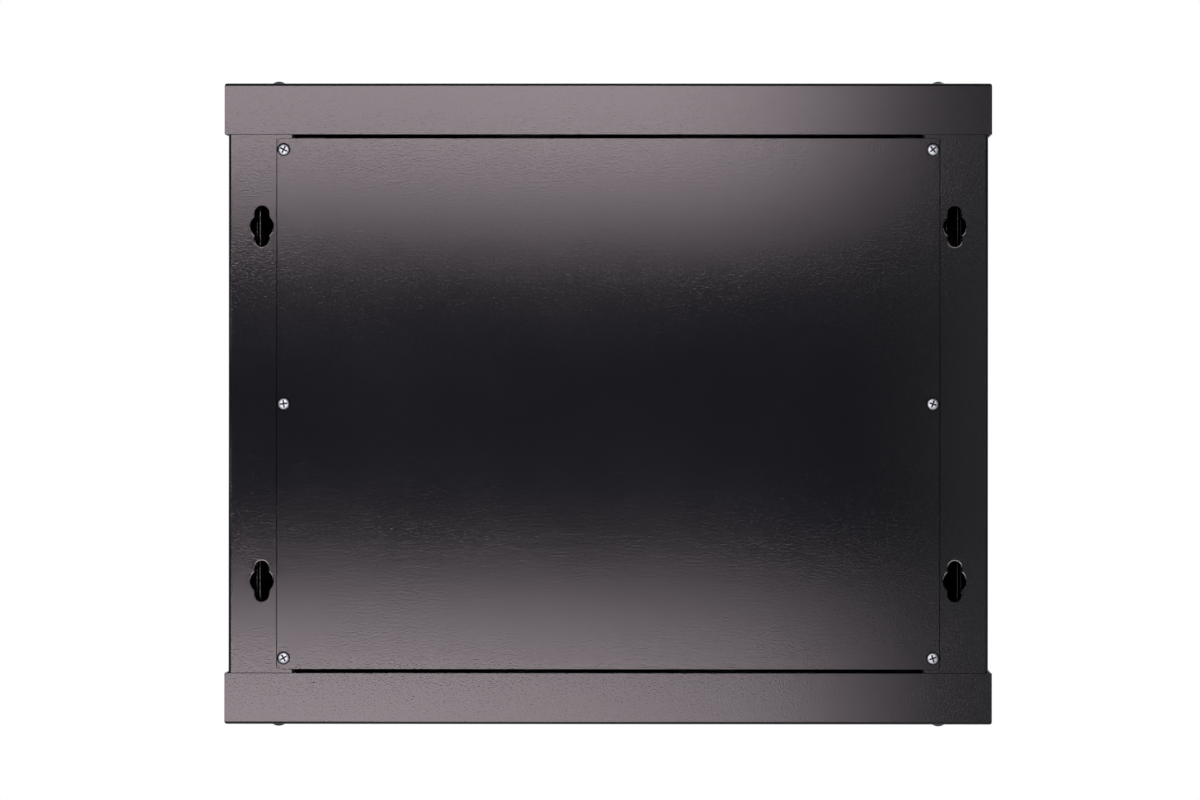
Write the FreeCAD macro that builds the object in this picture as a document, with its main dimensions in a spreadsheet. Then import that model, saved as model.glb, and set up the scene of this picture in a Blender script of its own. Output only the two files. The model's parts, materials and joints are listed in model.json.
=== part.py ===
"""Wall mount network cabinet, 9U, 600 x 450 x 501 mm.

A welded sheet frame between two folded covers, with a glass front door on spring
pins, two lift-off side panels, four adjustable 19 inch rails and a screwed rear panel.
Frame: +Z up, the door faces -Y, the wall is at Y = 0, and the origin is the middle
of the face that hangs against the wall. Right is +X, as seen from the front.
"""
import FreeCAD, Part
import math
import operator
import os
from types import SimpleNamespace

import Sketcher

# ---------------------------------------------------------------------------
# Driving dimensions, in millimetres
# ---------------------------------------------------------------------------
SIZES = [
    ("cabinet_width", "600", "over the covers"),
    ("cabinet_depth", "450", "over the covers"),
    ("cabinet_height", "501", "over the covers, without the bolt heads"),
    ("cover_sheet", "1.2", "thickness of the covers"),
    ("skirt_height", "40", "folded edge of a cover"),
    ("cover_fold", "0.8", "inner radius of a cover's folds"),
    ("overhang", "3", "covers beyond the posts, at the sides and the back"),
    ("front_setback", "22", "front posts behind the cover's front edge"),
    ("post_sheet", "1.5", "thickness of posts and frame rails"),
    ("post_fold", "0.5", "inner radius of a post's folds"),
    ("rear_post_width", "51.5", ""),
    ("front_post_width", "35", ""),
    ("post_depth", "35", "side leg of a post"),
    ("post_lip", "24.5", "return lip of a post"),
    ("rear_inner_leg", "15", ""),
    ("front_inner_leg", "8.5", ""),
    ("keyhole_edge", "26", "keyhole centre from the post's outer face"),
    ("keyhole_spacing", "277.2", "upper to lower keyhole"),
    ("keyhole_circle", "18", "diameter"),
    ("keyhole_slot_width", "11", ""),
    ("keyhole_slot_length", "32", ""),
    ("panel_sheet", "1", "rear panel and side panels"),
    ("panel_overlap", "13.7", "rear panel on a rear post"),
    ("panel_gap", "2.8", "rear panel to a cover's skirt"),
    ("panel_corner", "4", ""),
    ("screw_side_edge", "5.2", "panel screw from the panel's side edge"),
    ("screw_end_edge", "8.7", "panel screw from the panel's end edge"),
    ("screw_head", "9.5", "diameter"),
    ("screw_head_height", "1.9", ""),
    ("screw_shank", "4", "diameter"),
    ("screw_length", "10", "under the head"),
    ("close_fit", "0.05", "radial clearance of a shank or pin in its hole"),
    ("hole_clearance", "0.3", "radial clearance of a bolt in sheet metal"),
    ("seat_gap", "0.3", "pieces that rest on each other and come apart"),
    ("bolt_head", "11.6", "diameter of the domed cover bolts"),
    ("bolt_head_height", "2.2", ""),
    ("bolt_shank", "6", "diameter of M6 bolts and studs"),
    ("bolt_length", "10", "under the head"),
    ("bolt_square", "6.6", "square holes for the necks of the bolts"),
    ("bolt_edge", "13", "rear cover bolt from the post's inner edge"),
    ("bolt_depth", "22", "rear cover bolt from the post's back face"),
    ("front_bolt_depth", "16", "front cover bolt from the post's front face"),
    ("nut_flats", "10", "across flats"),
    ("nut_height", "5", ""),
    ("front_rail_height", "43.8", "cross rails behind the front skirts"),
    ("front_rail_depth", "16.5", ""),
    ("side_rail_drop", "0.7", "side rail's flange below the skirt's edge"),
    ("side_rail_height", "30.2", ""),
    ("side_flange", "21.7", "upper side rail, outward"),
    ("side_catch", "12.3", "downward lip that a side panel's cam catches"),
    ("side_sill", "34", "lower side rail, outward, under the side panel"),
    ("rack_sheet", "2", "thickness of the 19 inch rails"),
    ("rack_gap", "0.2", "19 inch rail to the side rail it slides on"),
    ("rack_opening", "451", "clear width between the 19 inch rails"),
    ("rack_leg", "40", ""),
    ("rack_length", "470", ""),
    ("rack_hole_spacing", "465.1", "left to right hole centres"),
    ("rack_hole", "9.5", "square holes for cage nuts"),
    ("rack_unit", "44.45", "one U"),
    ("rack_pitch", "15.875", "holes within a U"),
    ("front_rack_face", "385", "front of the front rails from the wall"),
    ("rear_rack_face", "75", "back of the rear rails from the wall"),
    ("rack_bolt_back", "20", "rail bolt from the rail's face"),
    ("rack_bolt_head", "10", "across flats"),
    ("rack_bolt_head_height", "3.5", ""),
    ("rack_slot", "7", "width of the adjusting slots"),
    ("front_travel_forward", "20", ""),
    ("front_travel_back", "100", ""),
    ("rear_travel_forward", "110", ""),
    ("rear_travel_back", "20", ""),
    ("door_recess", "2", "door front behind the covers' front edges"),
    ("door_depth", "16", ""),
    ("door_sheet", "1.2", ""),
    ("door_fold", "0.8", "inner radius of the door's folds"),
    ("door_gap", "2", "door to a cover's skirt"),
    ("door_stile", "69", ""),
    ("door_bar", "28.5", "top and bottom of the door frame"),
    ("door_lip", "8", "return lip at the door's back"),
    ("window_corner", "5", ""),
    ("glass_thickness", "4", ""),
    ("glass_overlap", "8", ""),
    ("gasket_thickness", "1", ""),
    ("gasket_reveal", "1", "gasket back from the window's edge"),
    ("hinge_edge", "8", "hinge axis from the door's side and back"),
    ("pin_diameter", "6", ""),
    ("pin_reach", "8", "pin past the end of the door"),
    ("pin_travel", "9", ""),
    ("pin_tail", "17", "pin's axis to the end of its grip"),
    ("pin_blade", "3", "thickness of the grip"),
    ("pin_length", "43.5", "pin's tip to its grip"),
    ("collar_diameter", "9.6", ""),
    ("collar_thickness", "2", ""),
    ("collar_depth", "9", "collar behind the end of the door"),
    ("spring_length", "18", ""),
    ("spring_wire", "1.2", ""),
    ("spring_diameter", "8.4", "mean diameter"),
    ("spring_seat_gap", "0.1", "spring to its two seats"),
    ("carrier_width", "13", ""),
    ("carrier_height", "14", ""),
    ("bracket_sheet", "2.5", "hinge brackets"),
    ("bracket_width", "16", ""),
    ("bracket_reach", "19", ""),
    ("bracket_leg", "22", ""),
    ("bracket_gap", "0.5", "hinge bracket behind the skirt's edge"),
    ("bumper_width", "8", ""),
    ("bumper_edge", "5.5", ""),
    ("bumper_spacing", "200", ""),
    ("lock_edge", "47", "door lock from the door's side"),
    ("lock_bezel", "22", "diameter"),
    ("lock_bezel_height", "2", ""),
    ("lock_barrel", "19", "diameter"),
    ("lock_barrel_length", "20", ""),
    ("lock_plug", "12", "diameter"),
    ("lock_plug_height", "1.5", "plug proud of the face"),
    ("lock_shaft", "7", "square"),
    ("lock_nut_flats", "24", ""),
    ("lock_nut_height", "3", ""),
    ("cam_thickness", "2.5", ""),
    ("cam_width", "14", ""),
    ("cam_length", "38", ""),
    ("cam_clearance", "1", "cam behind the post's inner leg"),
    ("cam_screw_flats", "8", "across flats"),
    ("cam_screw_height", "2.5", ""),
    ("key_slot_width", "1.4", ""),
    ("key_slot_length", "7.5", ""),
    ("key_slot_depth", "4", ""),
    ("side_lock_drop", "19.5", "side lock below the side panel's top"),
    ("side_barrel_length", "12", ""),
    ("side_cam_width", "12", ""),
    ("side_cam_length", "17", ""),
    ("side_cam_clearance", "2.7", "side cam behind the side rail's lip"),
    ("side_panel_gap", "1.5", "side panel to a post"),
    ("side_panel_flange", "12", "depth of the side panel's folded edge"),
    ("tab_inset", "6", "side panel's tab from its outer face"),
    ("tab_depth", "6", ""),
    ("tab_width", "30", ""),
    ("tab_spacing", "212", ""),
    ("tab_slot_back", "3.5", "room behind a tab to tilt"),
    ("tab_slot_front", "1", "room before a tab"),
    ("entry_length", "220", "cable entry"),
    ("entry_width", "50", ""),
    ("entry_inset", "35", "cable entry from the wall"),
    ("entry_plate_sheet", "1.5", ""),
    ("entry_plate_margin", "5", ""),
    ("entry_plate_gap", "0.2", "plate to the cover and its guides"),
    ("entry_guide_sheet", "1.5", ""),
    ("entry_guide_lip", "8", ""),
    ("entry_grip", "12", "turned edge of the plate"),
    ("fan_circle", "105", "vent circle in the top cover"),
    ("fan_spacing", "200", ""),
    ("vent_width", "5", ""),
    ("vent_pitch", "15", ""),
    ("bottom_vent_length", "70", ""),
    ("side_vent_length", "60", ""),
    ("door_vent_length", "34", ""),
    ("door_vent_pitch", "50", ""),
    ("door_vent_edge", "29", "door vent from the door's side"),
    ("vent_height", "90", "side vents below the panel's middle"),
    ("stud_length", "18", "earth studs"),
    ("stud_side", "150", ""),
    ("stud_depth", "60", ""),
]

doc = FreeCAD.newDocument("NetworkCabinet")
sheet = doc.addObject("Spreadsheet::Sheet", "Sizes")
for row, (alias, number, meaning) in enumerate(SIZES, start=1):
    sheet.set(f"A{row}", meaning or alias.replace("_", " "))
    sheet.set(f"B{row}", number)
    sheet.setAlias(f"B{row}", alias)
doc.recompute()

BOLT_SIDES = 12
LOCK_SIDES = 24

OPERATORS = {"+": operator.add, "-": operator.sub, "*": operator.mul, "/": operator.truediv}


class Size:
    """A number that carries the sheet expression it comes from."""

    def __init__(self, text, value):
        self.text = text
        self.value = value

    def __add__(self, other):
        return combined(self, "+", other)

    def __radd__(self, other):
        return combined(other, "+", self)

    def __sub__(self, other):
        return combined(self, "-", other)

    def __rsub__(self, other):
        return combined(other, "-", self)

    def __mul__(self, other):
        return combined(self, "*", other)

    def __rmul__(self, other):
        return combined(other, "*", self)

    def __truediv__(self, other):
        return combined(self, "/", other)

    def __neg__(self):
        return combined(0, "-", self)

    def __float__(self):
        return float(self.value)


def sized(number):
    """A plain number as a Size."""
    if isinstance(number, Size):
        return number
    return Size(f"({float(number):.9g})", float(number))


def combined(left, sign, right):
    first = sized(left)
    second = sized(right)
    return Size(f"({first.text} {sign} {second.text})", OPERATORS[sign](first.value, second.value))


s = SimpleNamespace(**{alias: Size(f"Sizes.{alias}", float(number)) for alias, number, _ in SIZES})

# ---------------------------------------------------------------------------
# Sketches and features
# ---------------------------------------------------------------------------
PLANES = {"X": "YZ_Plane", "Y": "XZ_Plane", "Z": "XY_Plane"}
START, END, CENTRE = 1, 2, 3
parts = {}


def new_body(label):
    """One sub-part; its label names its file."""
    body = doc.addObject("PartDesign::Body", label)
    body.Label = label
    body.AllowCompound = True
    parts[label] = body
    return body


def origin_plane(body, axis):
    return next(f for f in body.Origin.OriginFeatures if f.Role == PLANES[axis])


def new_sketch(body, axis, level):
    """An empty sketch square to the axis, at the given level along it."""
    sketch = body.newObject("Sketcher::SketchObject", "Outline")
    sketch.AttachmentSupport = [(origin_plane(body, axis), "")]
    sketch.MapMode = "FlatFace"
    offset = -level if axis == "Y" else level
    sketch.setExpression("AttachmentOffset.Base.z", sized(offset).text)
    return sketch


def placed(rules, element, point, x, y):
    """Tie a point of the sketch to a place worked out from the sheet."""
    for kind, amount in (("DistanceX", sized(x)), ("DistanceY", sized(y))):
        rules.append((Sketcher.Constraint(kind, element, point, amount.value), amount.text))


def rounded(rules, element, radius):
    radius = sized(radius)
    rules.append((Sketcher.Constraint("Radius", element, radius.value), radius.text))


def joined(rules, first, first_point, second, second_point):
    rules.append((Sketcher.Constraint("Coincident", first, first_point, second, second_point), None))


def polygon(corners):
    """A closed outline through the corners."""

    def draw(sketch, rules):
        points = [FreeCAD.Vector(float(x), float(y), 0) for x, y in corners]
        count = len(points)
        first = sketch.GeometryCount
        for k, (x, y) in enumerate(corners):
            sketch.addGeometry(Part.LineSegment(points[k], points[(k + 1) % count]), False)
            joined(rules, first + k, END, first + (k + 1) % count, START)
            placed(rules, first + k, START, x, y)

    return draw


def rectangle(low_x, low_y, high_x, high_y):
    return polygon([(low_x, low_y), (high_x, low_y), (high_x, high_y), (low_x, high_y)])


def square(x, y, width):
    half = width / 2
    return rectangle(x - half, y - half, x + half, y + half)


def hexagon(x, y, across_flats):
    """A hexagon with two flats square to the first direction of the sketch."""
    corner = across_flats / math.sqrt(3)
    flat = across_flats / 2
    return polygon([
        (x + flat, y - corner / 2),
        (x + flat, y + corner / 2),
        (x, y + corner),
        (x - flat, y + corner / 2),
        (x - flat, y - corner / 2),
        (x, y - corner),
    ])


def ring(x, y, diameter, sides=BOLT_SIDES):
    """A round drawn with straight sides, its corners on the circle."""
    reach = diameter / 2
    turns = [2 * math.pi * (k + 0.5) / sides for k in range(sides)]
    return polygon([(x + reach * math.cos(turn), y + reach * math.sin(turn)) for turn in turns])


def circle(x, y, diameter):
    def draw(sketch, rules):
        centre = FreeCAD.Vector(float(x), float(y), 0)
        radius = diameter / 2
        ring = sketch.addGeometry(Part.Circle(centre, FreeCAD.Vector(0, 0, 1), float(radius)), False)
        placed(rules, ring, CENTRE, x, y)
        rounded(rules, ring, radius)

    return draw


def slot(x, y, length, width, along):
    """A slot with round ends, along direction 0 (first) or 1 (second) of the sketch."""

    def draw(sketch, rules):
        radius = width / 2
        reach = length / 2 - radius
        quarter = math.pi / 2
        arcs = []
        for end in (1, -1):
            step = (reach * end, 0)
            centre = (x + step[along], y + step[1 - along])
            middle = FreeCAD.Vector(float(centre[0]), float(centre[1]), 0)
            start = quarter * (along - end)
            full = Part.Circle(middle, FreeCAD.Vector(0, 0, 1), float(radius))
            arc = sketch.addGeometry(Part.ArcOfCircle(full, start, start + math.pi), False)
            arcs.append(arc)
            placed(rules, arc, CENTRE, *centre)
            rounded(rules, arc, radius)
            level = sized(centre[along])
            for point in (START, END):
                across = Sketcher.Constraint("DistanceY" if along else "DistanceX", arc, point, level.value)
                rules.append((across, level.text))
        for arc, other in (arcs, arcs[::-1]):
            leaving = sketch.Geometry[arc].EndPoint
            arriving = sketch.Geometry[other].StartPoint
            line = sketch.addGeometry(Part.LineSegment(leaving, arriving), False)
            joined(rules, arc, END, line, START)
            joined(rules, line, END, other, START)

    return draw


def vent(x, y, length, width, along):
    """A narrow slot with clipped corners, along direction 0 or 1 of the sketch."""
    reach = length / 2
    side = width / 2
    clip = width / 4
    corners = [(-reach, clip - side), (clip - reach, -side), (reach - clip, -side), (reach, clip - side)]
    corners += [(-u, -v) for u, v in corners]
    if along:
        corners = [(v, u) for u, v in corners]
    return polygon([(x + u, y + v) for u, v in corners])


def settle(sketch, rules):
    """Give the sketch its constraints, and tie their values to the sheet."""
    sketch.addConstraint([rule for rule, _ in rules])
    for index, (_, text) in enumerate(rules):
        if text:
            sketch.setExpression(f"Constraints[{index}]", text)


def draw_all(sketch, outlines):
    rules = []
    for outline in outlines:
        outline(sketch, rules)
    settle(sketch, rules)


def pad(body, axis, low, high, *outlines):
    """Material between two levels along the axis."""
    sketch = new_sketch(body, axis, high if axis == "Y" else low)
    draw_all(sketch, outlines)
    feature = body.newObject("PartDesign::Pad", "Pad")
    feature.Profile = sketch
    feature.setExpression("Length", sized(high - low).text)
    doc.recompute()
    return feature


def pocket(body, axis, low, high, *outlines):
    """A cut between two levels along the axis, which must take material away."""
    before = body.Shape.Volume
    sketch = new_sketch(body, axis, low if axis == "Y" else high)
    draw_all(sketch, outlines)
    feature = body.newObject("PartDesign::Pocket", "Pocket")
    feature.Profile = sketch
    feature.setExpression("Length", sized(high - low).text)
    doc.recompute()
    if not body.Shape.Volume < before:
        raise RuntimeError(f"a pocket of {body.Label} cuts nothing")
    return feature


def repeat(body, feature, axis, step, copies):
    """Copies of a feature, one step apart along the axis."""
    pattern = body.newObject("PartDesign::LinearPattern", "Pattern")
    pattern.Originals = [feature]
    line = next(f for f in body.Origin.OriginFeatures if f.Role == f"{axis}_Axis")
    pattern.Direction = (line, [""])
    pattern.setExpression("Length", (step * (copies - 1)).text)
    pattern.Occurrences = copies
    body.Tip = pattern
    doc.recompute()
    return pattern


def edges_at(shape, x=None, y=None, z=None):
    """Names of the edges whose whole run lies at the given coordinates."""
    wanted = [(axis, float(level)) for axis, level in enumerate((x, y, z)) if level is not None]
    names = []
    for number, edge in enumerate(shape.Edges, start=1):
        box = edge.BoundBox
        lows = (box.XMin, box.YMin, box.ZMin)
        highs = (box.XMax, box.YMax, box.ZMax)
        near = 1e-4
        if all(abs(lows[a] - v) < near and abs(highs[a] - v) < near for a, v in wanted):
            names.append(f"Edge{number}")
    return names


def fillet(body, radius, *places):
    """Round the edges at the given places."""
    tip = body.Tip
    names = [name for place in places for name in edges_at(tip.Shape, **place)]
    feature = body.newObject("PartDesign::Fillet", "Fillet")
    feature.Base = (tip, sorted(set(names)))
    feature.setExpression("Radius", sized(radius).text)
    doc.recompute()
    return feature


# ---------------------------------------------------------------------------
# Levels that the pieces share
# ---------------------------------------------------------------------------
half_width = s.cabinet_width / 2
half_height = s.cabinet_height / 2
body_half = half_width - s.overhang
ceiling = half_height - s.cover_sheet
skirt_edge = half_height - s.skirt_height
cover_front = -s.cabinet_depth
back_face = -s.overhang
front_face = cover_front + s.front_setback
rear_post_end = back_face - s.post_depth
front_post_end = front_face + s.post_depth
rear_post_inner = body_half - s.rear_post_width
front_post_inner = body_half - s.front_post_width
rear_bolt_x = rear_post_inner + s.bolt_edge
rear_bolt_y = back_face - s.bolt_depth
front_bolt_x = body_half - s.front_post_width / 2
front_bolt_y = front_face + s.front_bolt_depth
tight_hole = 2 * s.close_fit
SIDES = {"left": -1, "right": 1}
ENDS = {"upper": 1, "lower": -1}
cover_bolt_places = [
    (side * x, y)
    for side in (-1, 1)
    for x, y in ((rear_bolt_x, rear_bolt_y), (front_bolt_x, front_bolt_y))
]


def span(level_a, level_b):
    """Two levels in rising order."""
    return (level_a, level_b) if float(level_a) < float(level_b) else (level_b, level_a)


# ---------------------------------------------------------------------------
# Covers: folded pans with a skirt all round
# ---------------------------------------------------------------------------
entry_front = -(s.entry_inset + s.entry_width)
entry_opening = rectangle(-s.entry_length / 2, entry_front, s.entry_length / 2, -s.entry_inset)
fan_middle = cover_front / 2 - s.entry_width / 2


def cover(label, end):
    """A pan that closes the frame; end is 1 for the top and -1 for the bottom."""
    body = new_body(label)
    outer = end * half_height
    inner = end * ceiling
    edge = end * skirt_edge
    pad(body, "Z", *span(edge, outer), rectangle(-half_width, cover_front, half_width, 0))
    wall = s.cover_sheet
    pocket(
        body, "Z", *span(edge, inner),
        rectangle(wall - half_width, cover_front + wall, half_width - wall, -wall),
    )
    sides = [dict(x=-half_width), dict(x=half_width), dict(y=cover_front), dict(y=0)]
    fillet(body, s.cover_fold + wall, *[dict(side, z=outer) for side in sides])
    pocket(body, "Z", *span(inner, outer), entry_opening)
    pocket(body, "Z", *span(inner, outer), *[square(x, y, s.bolt_square) for x, y in cover_bolt_places])
    return body


def chord(offset):
    """Length of a vent at this distance from the middle of the fan's circle."""
    radius = float(s.fan_circle) / 2
    share = math.sqrt(1 - (float(offset) / radius) ** 2)
    return s.fan_circle * share


top_cover = cover("top_cover", 1)
FAN_STEPS = (-3, -2, -1, 0, 1, 2, 3)
fan_vents = [
    vent(side * s.fan_spacing / 2 + step * s.vent_pitch, fan_middle, chord(step * s.vent_pitch), s.vent_width, 1)
    for side in (-1, 1)
    for step in FAN_STEPS
]
pocket(top_cover, "Z", ceiling, half_height, *fan_vents)

bottom_cover = cover("bottom_cover", -1)
BOTTOM_VENTS = 6
first_vent = fan_middle - s.vent_pitch * (BOTTOM_VENTS - 1) / 2
bottom_vents = [
    vent(side * s.fan_spacing / 2, first_vent, s.bottom_vent_length, s.vent_width, 0) for side in (-1, 1)
]
vent_cut = pocket(bottom_cover, "Z", -half_height, -ceiling, *bottom_vents)
repeat(bottom_cover, vent_cut, "Y", s.vent_pitch, BOTTOM_VENTS)


# ---------------------------------------------------------------------------
# Posts: folded channels with end plates
# ---------------------------------------------------------------------------
def post(label, side, inner, face, inward, inner_leg, bolt_x, bolt_y):
    """A corner post; inward is the direction along Y from its face into the cabinet."""
    body = new_body(label)
    thick = s.post_sheet
    depth = s.post_depth

    def at(x, y):
        return (side * x, face + inward * y)

    pad(
        body, "Z", -ceiling, ceiling,
        polygon([
            at(inner, inner_leg),
            at(inner, 0),
            at(body_half, 0),
            at(body_half, depth),
            at(body_half - s.post_lip, depth),
            at(body_half - s.post_lip, depth - thick),
            at(body_half - thick, depth - thick),
            at(body_half - thick, thick),
            at(inner + thick, thick),
            at(inner + thick, inner_leg),
        ]),
    )
    bends = [at(inner, 0), at(body_half, 0), at(body_half, depth)]
    fillet(body, s.post_fold + thick, *[dict(x=x, y=y) for x, y in bends])
    low_x, low_y = at(inner + thick / 2, thick / 2)
    high_x, high_y = at(body_half - thick / 2, depth - thick / 2)
    for end in ENDS.values():
        plate = span(end * (ceiling - thick), end * ceiling)
        pad(body, "Z", *plate, rectangle(low_x, low_y, high_x, high_y))
        pocket(body, "Z", *plate, square(side * bolt_x, bolt_y, s.bolt_square))
    return body


keyhole_x = body_half - s.keyhole_edge
keyhole_z = s.keyhole_spacing / 2
panel_half_width = rear_post_inner + s.panel_overlap
panel_half_height = skirt_edge - s.panel_gap
panel_screw_x = panel_half_width - s.screw_side_edge
panel_screw_z = panel_half_height - s.screw_end_edge
panel_screw_levels = (-panel_screw_z, sized(0), panel_screw_z)

for name, side in SIDES.items():
    rear_post = post(
        f"rear_post_{name}", side, rear_post_inner, back_face, -1, s.rear_inner_leg, rear_bolt_x, rear_bolt_y
    )
    web = (back_face - s.post_sheet, back_face)
    keyholes = [circle(side * keyhole_x, end * keyhole_z, s.keyhole_circle) for end in ENDS.values()]
    keyslots = [
        slot(side * keyhole_x, end * keyhole_z, s.keyhole_slot_length, s.keyhole_slot_width, 1)
        for end in ENDS.values()
    ]
    tapped = [ring(side * panel_screw_x, z, s.screw_shank + tight_hole) for z in panel_screw_levels]
    pocket(rear_post, "Y", *web, *keyholes)
    pocket(rear_post, "Y", *web, *keyslots)
    pocket(rear_post, "Y", *web, *tapped)
    post(
        f"front_post_{name}", side, front_post_inner, front_face, 1, s.front_inner_leg,
        front_bolt_x, front_bolt_y,
    )

# ---------------------------------------------------------------------------
# Front cross rails, behind the skirts of the covers
# ---------------------------------------------------------------------------
for name, end in {"top": 1, "bottom": -1}.items():
    rail = new_body(f"front_{name}_rail")
    thick = s.post_sheet
    outer = end * ceiling
    inner = end * (ceiling - s.front_rail_height)
    back = front_face + s.front_rail_depth
    pad(
        rail, "X", -front_post_inner, front_post_inner,
        polygon([
            (front_face, outer),
            (front_face, inner),
            (back, inner),
            (back, inner + end * thick),
            (front_face + thick, inner + end * thick),
            (front_face + thick, outer - end * thick),
            (back, outer - end * thick),
            (back, outer),
        ]),
    )
    fillet(rail, s.post_fold + thick, dict(y=front_face, z=inner), dict(y=front_face, z=outer))

# ---------------------------------------------------------------------------
# Side rails: they join the posts and carry the 19 inch rails and the side panels
# ---------------------------------------------------------------------------
side_rail_edge = skirt_edge - s.side_rail_drop
side_rail_far = side_rail_edge + s.side_rail_height
rack_bolt_z = side_rail_edge + s.side_rail_height / 2
side_web = (front_face + s.front_inner_leg, back_face - s.post_sheet)
catch_x = front_post_inner + s.side_flange
side_panel_rear = rear_post_end - s.side_panel_gap
side_panel_front = front_post_end + s.side_panel_gap
side_middle = (side_panel_rear + side_panel_front) / 2
front_bolt_home = -s.front_rack_face + s.rack_bolt_back
rear_bolt_home = -s.rear_rack_face - s.rack_bolt_back
tab_x = body_half - s.tab_inset
tab_places = [side_middle + step * s.tab_spacing / 2 for step in (-1, 1)]


def adjusting_slot(home, forward, back, z):
    """A slot that lets a rail's bolt move forward and back from its home."""
    low = home - forward - s.bolt_shank
    high = home + back + s.bolt_shank
    return vent((low + high) / 2, z, high - low, s.rack_slot, 0)


for name, side in SIDES.items():
    for level, end in ENDS.items():
        rail = new_body(f"{level}_side_rail_{name}")
        thick = s.post_sheet
        web = span(side * front_post_inner, side * (front_post_inner + thick))
        edge = end * side_rail_edge
        pad(rail, "X", *web, rectangle(side_web[0], edge, side_web[1], end * side_rail_far))
        reach = s.side_flange if end == 1 else s.side_sill
        flange_x = side * (front_post_inner + reach)
        flange = span(edge, edge + end * thick)
        pad(rail, "Z", *flange, rectangle(side * front_post_inner, front_post_end, flange_x, rear_post_end))
        if end == 1:
            catch = span(side * (catch_x - thick), side * catch_x)
            low = side_rail_edge + thick - s.side_catch
            pad(
                rail, "X", *catch,
                rectangle(front_post_end, low, rear_post_end, side_rail_edge + thick),
            )
            fillet(rail, s.post_fold + thick, dict(x=side * catch_x, z=side_rail_edge + thick))
        else:
            slot_in = tab_x - s.tab_slot_back
            slot_out = tab_x + s.panel_sheet + s.tab_slot_front
            reach_y = s.tab_width / 2 + s.tab_slot_front
            tab_slots = [
                rectangle(side * slot_in, y - reach_y, side * slot_out, y + reach_y) for y in tab_places
            ]
            pocket(rail, "Z", *flange, *tab_slots)
        z = end * rack_bolt_z
        pocket(
            rail, "X", *web,
            adjusting_slot(front_bolt_home, s.front_travel_forward, s.front_travel_back, z),
            adjusting_slot(rear_bolt_home, s.rear_travel_forward, s.rear_travel_back, z),
        )

# ---------------------------------------------------------------------------
# Rear panel and its screws
# ---------------------------------------------------------------------------
rear_panel = new_body("rear_panel")
panel_back = back_face + s.panel_sheet
pad(
    rear_panel, "Y", back_face, panel_back,
    rectangle(-panel_half_width, -panel_half_height, panel_half_width, panel_half_height),
)
fillet(
    rear_panel, s.panel_corner,
    *[dict(x=sx * panel_half_width, z=sz * panel_half_height) for sx in (-1, 1) for sz in (-1, 1)],
)
panel_screw_places = [(side * panel_screw_x, z) for side in (-1, 1) for z in panel_screw_levels]
pocket(
    rear_panel, "Y", back_face, panel_back,
    *[ring(x, z, s.screw_shank + 2 * s.hole_clearance) for x, z in panel_screw_places],
)

screws = new_body("rear_panel_screws")
screw_top = panel_back + s.screw_head_height
pad(screws, "Y", panel_back, screw_top, *[ring(x, z, s.screw_head) for x, z in panel_screw_places])
pad(
    screws, "Y", panel_back - s.screw_length, panel_back,
    *[ring(x, z, s.screw_shank) for x, z in panel_screw_places],
)

# ---------------------------------------------------------------------------
# Cover bolts, screwed into the end plates of the posts
# ---------------------------------------------------------------------------
for name, end in {"top": 1, "bottom": -1}.items():
    bolts = new_body(f"cover_bolts_{name}")
    face = end * half_height
    heads = [ring(x, y, s.bolt_head) for x, y in cover_bolt_places]
    shanks = [ring(x, y, s.bolt_shank) for x, y in cover_bolt_places]
    pad(bolts, "Z", *span(face, face + end * s.bolt_head_height), *heads)
    pad(bolts, "Z", *span(face, face - end * s.bolt_length), *shanks)

# ---------------------------------------------------------------------------
# Cable entries: a guided plate slides over each opening
# ---------------------------------------------------------------------------
plate_half = s.entry_length / 2 + s.entry_plate_margin
plate_depth = s.entry_width + 2 * s.entry_plate_margin
plate_rear = entry_front - s.entry_plate_margin
plate_front = plate_rear - plate_depth
entry_rear = s.entry_plate_margin - s.entry_inset

for name, end in {"top": 1, "bottom": -1}.items():
    plate = new_body(f"{name}_entry_plate")
    outer = ceiling - s.entry_plate_gap
    inner = outer - s.entry_plate_sheet
    pad(plate, "Z", *span(end * inner, end * outer), rectangle(-plate_half, plate_front, plate_half, plate_rear))
    pad(
        plate, "Z", *span(end * (outer - s.entry_grip), end * outer),
        rectangle(-s.entry_length / 4, plate_front, s.entry_length / 4, plate_front + s.entry_plate_sheet),
    )
    guides = new_body(f"{name}_entry_guides")
    for side in (-1, 1):
        gap = s.entry_plate_gap
        thick = s.entry_guide_sheet
        wall = plate_half + gap
        under = inner - gap
        lip = plate_half - s.entry_guide_lip
        flange = wall + thick + s.entry_guide_lip
        pad(
            guides, "Y", plate_front, entry_rear,
            polygon([
                (side * lip, end * under),
                (side * lip, end * (under - thick)),
                (side * (wall + thick), end * (under - thick)),
                (side * (wall + thick), end * (ceiling - thick)),
                (side * flange, end * (ceiling - thick)),
                (side * flange, end * ceiling),
                (side * wall, end * ceiling),
                (side * wall, end * under),
            ]),
        )

# ---------------------------------------------------------------------------
# 19 inch rails: punched angles, bolted through the slots of the side rails
# ---------------------------------------------------------------------------
rack_outer = front_post_inner - s.rack_gap
rack_inner = s.rack_opening / 2
rack_hole_x = s.rack_hole_spacing / 2
UNITS = 9


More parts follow.
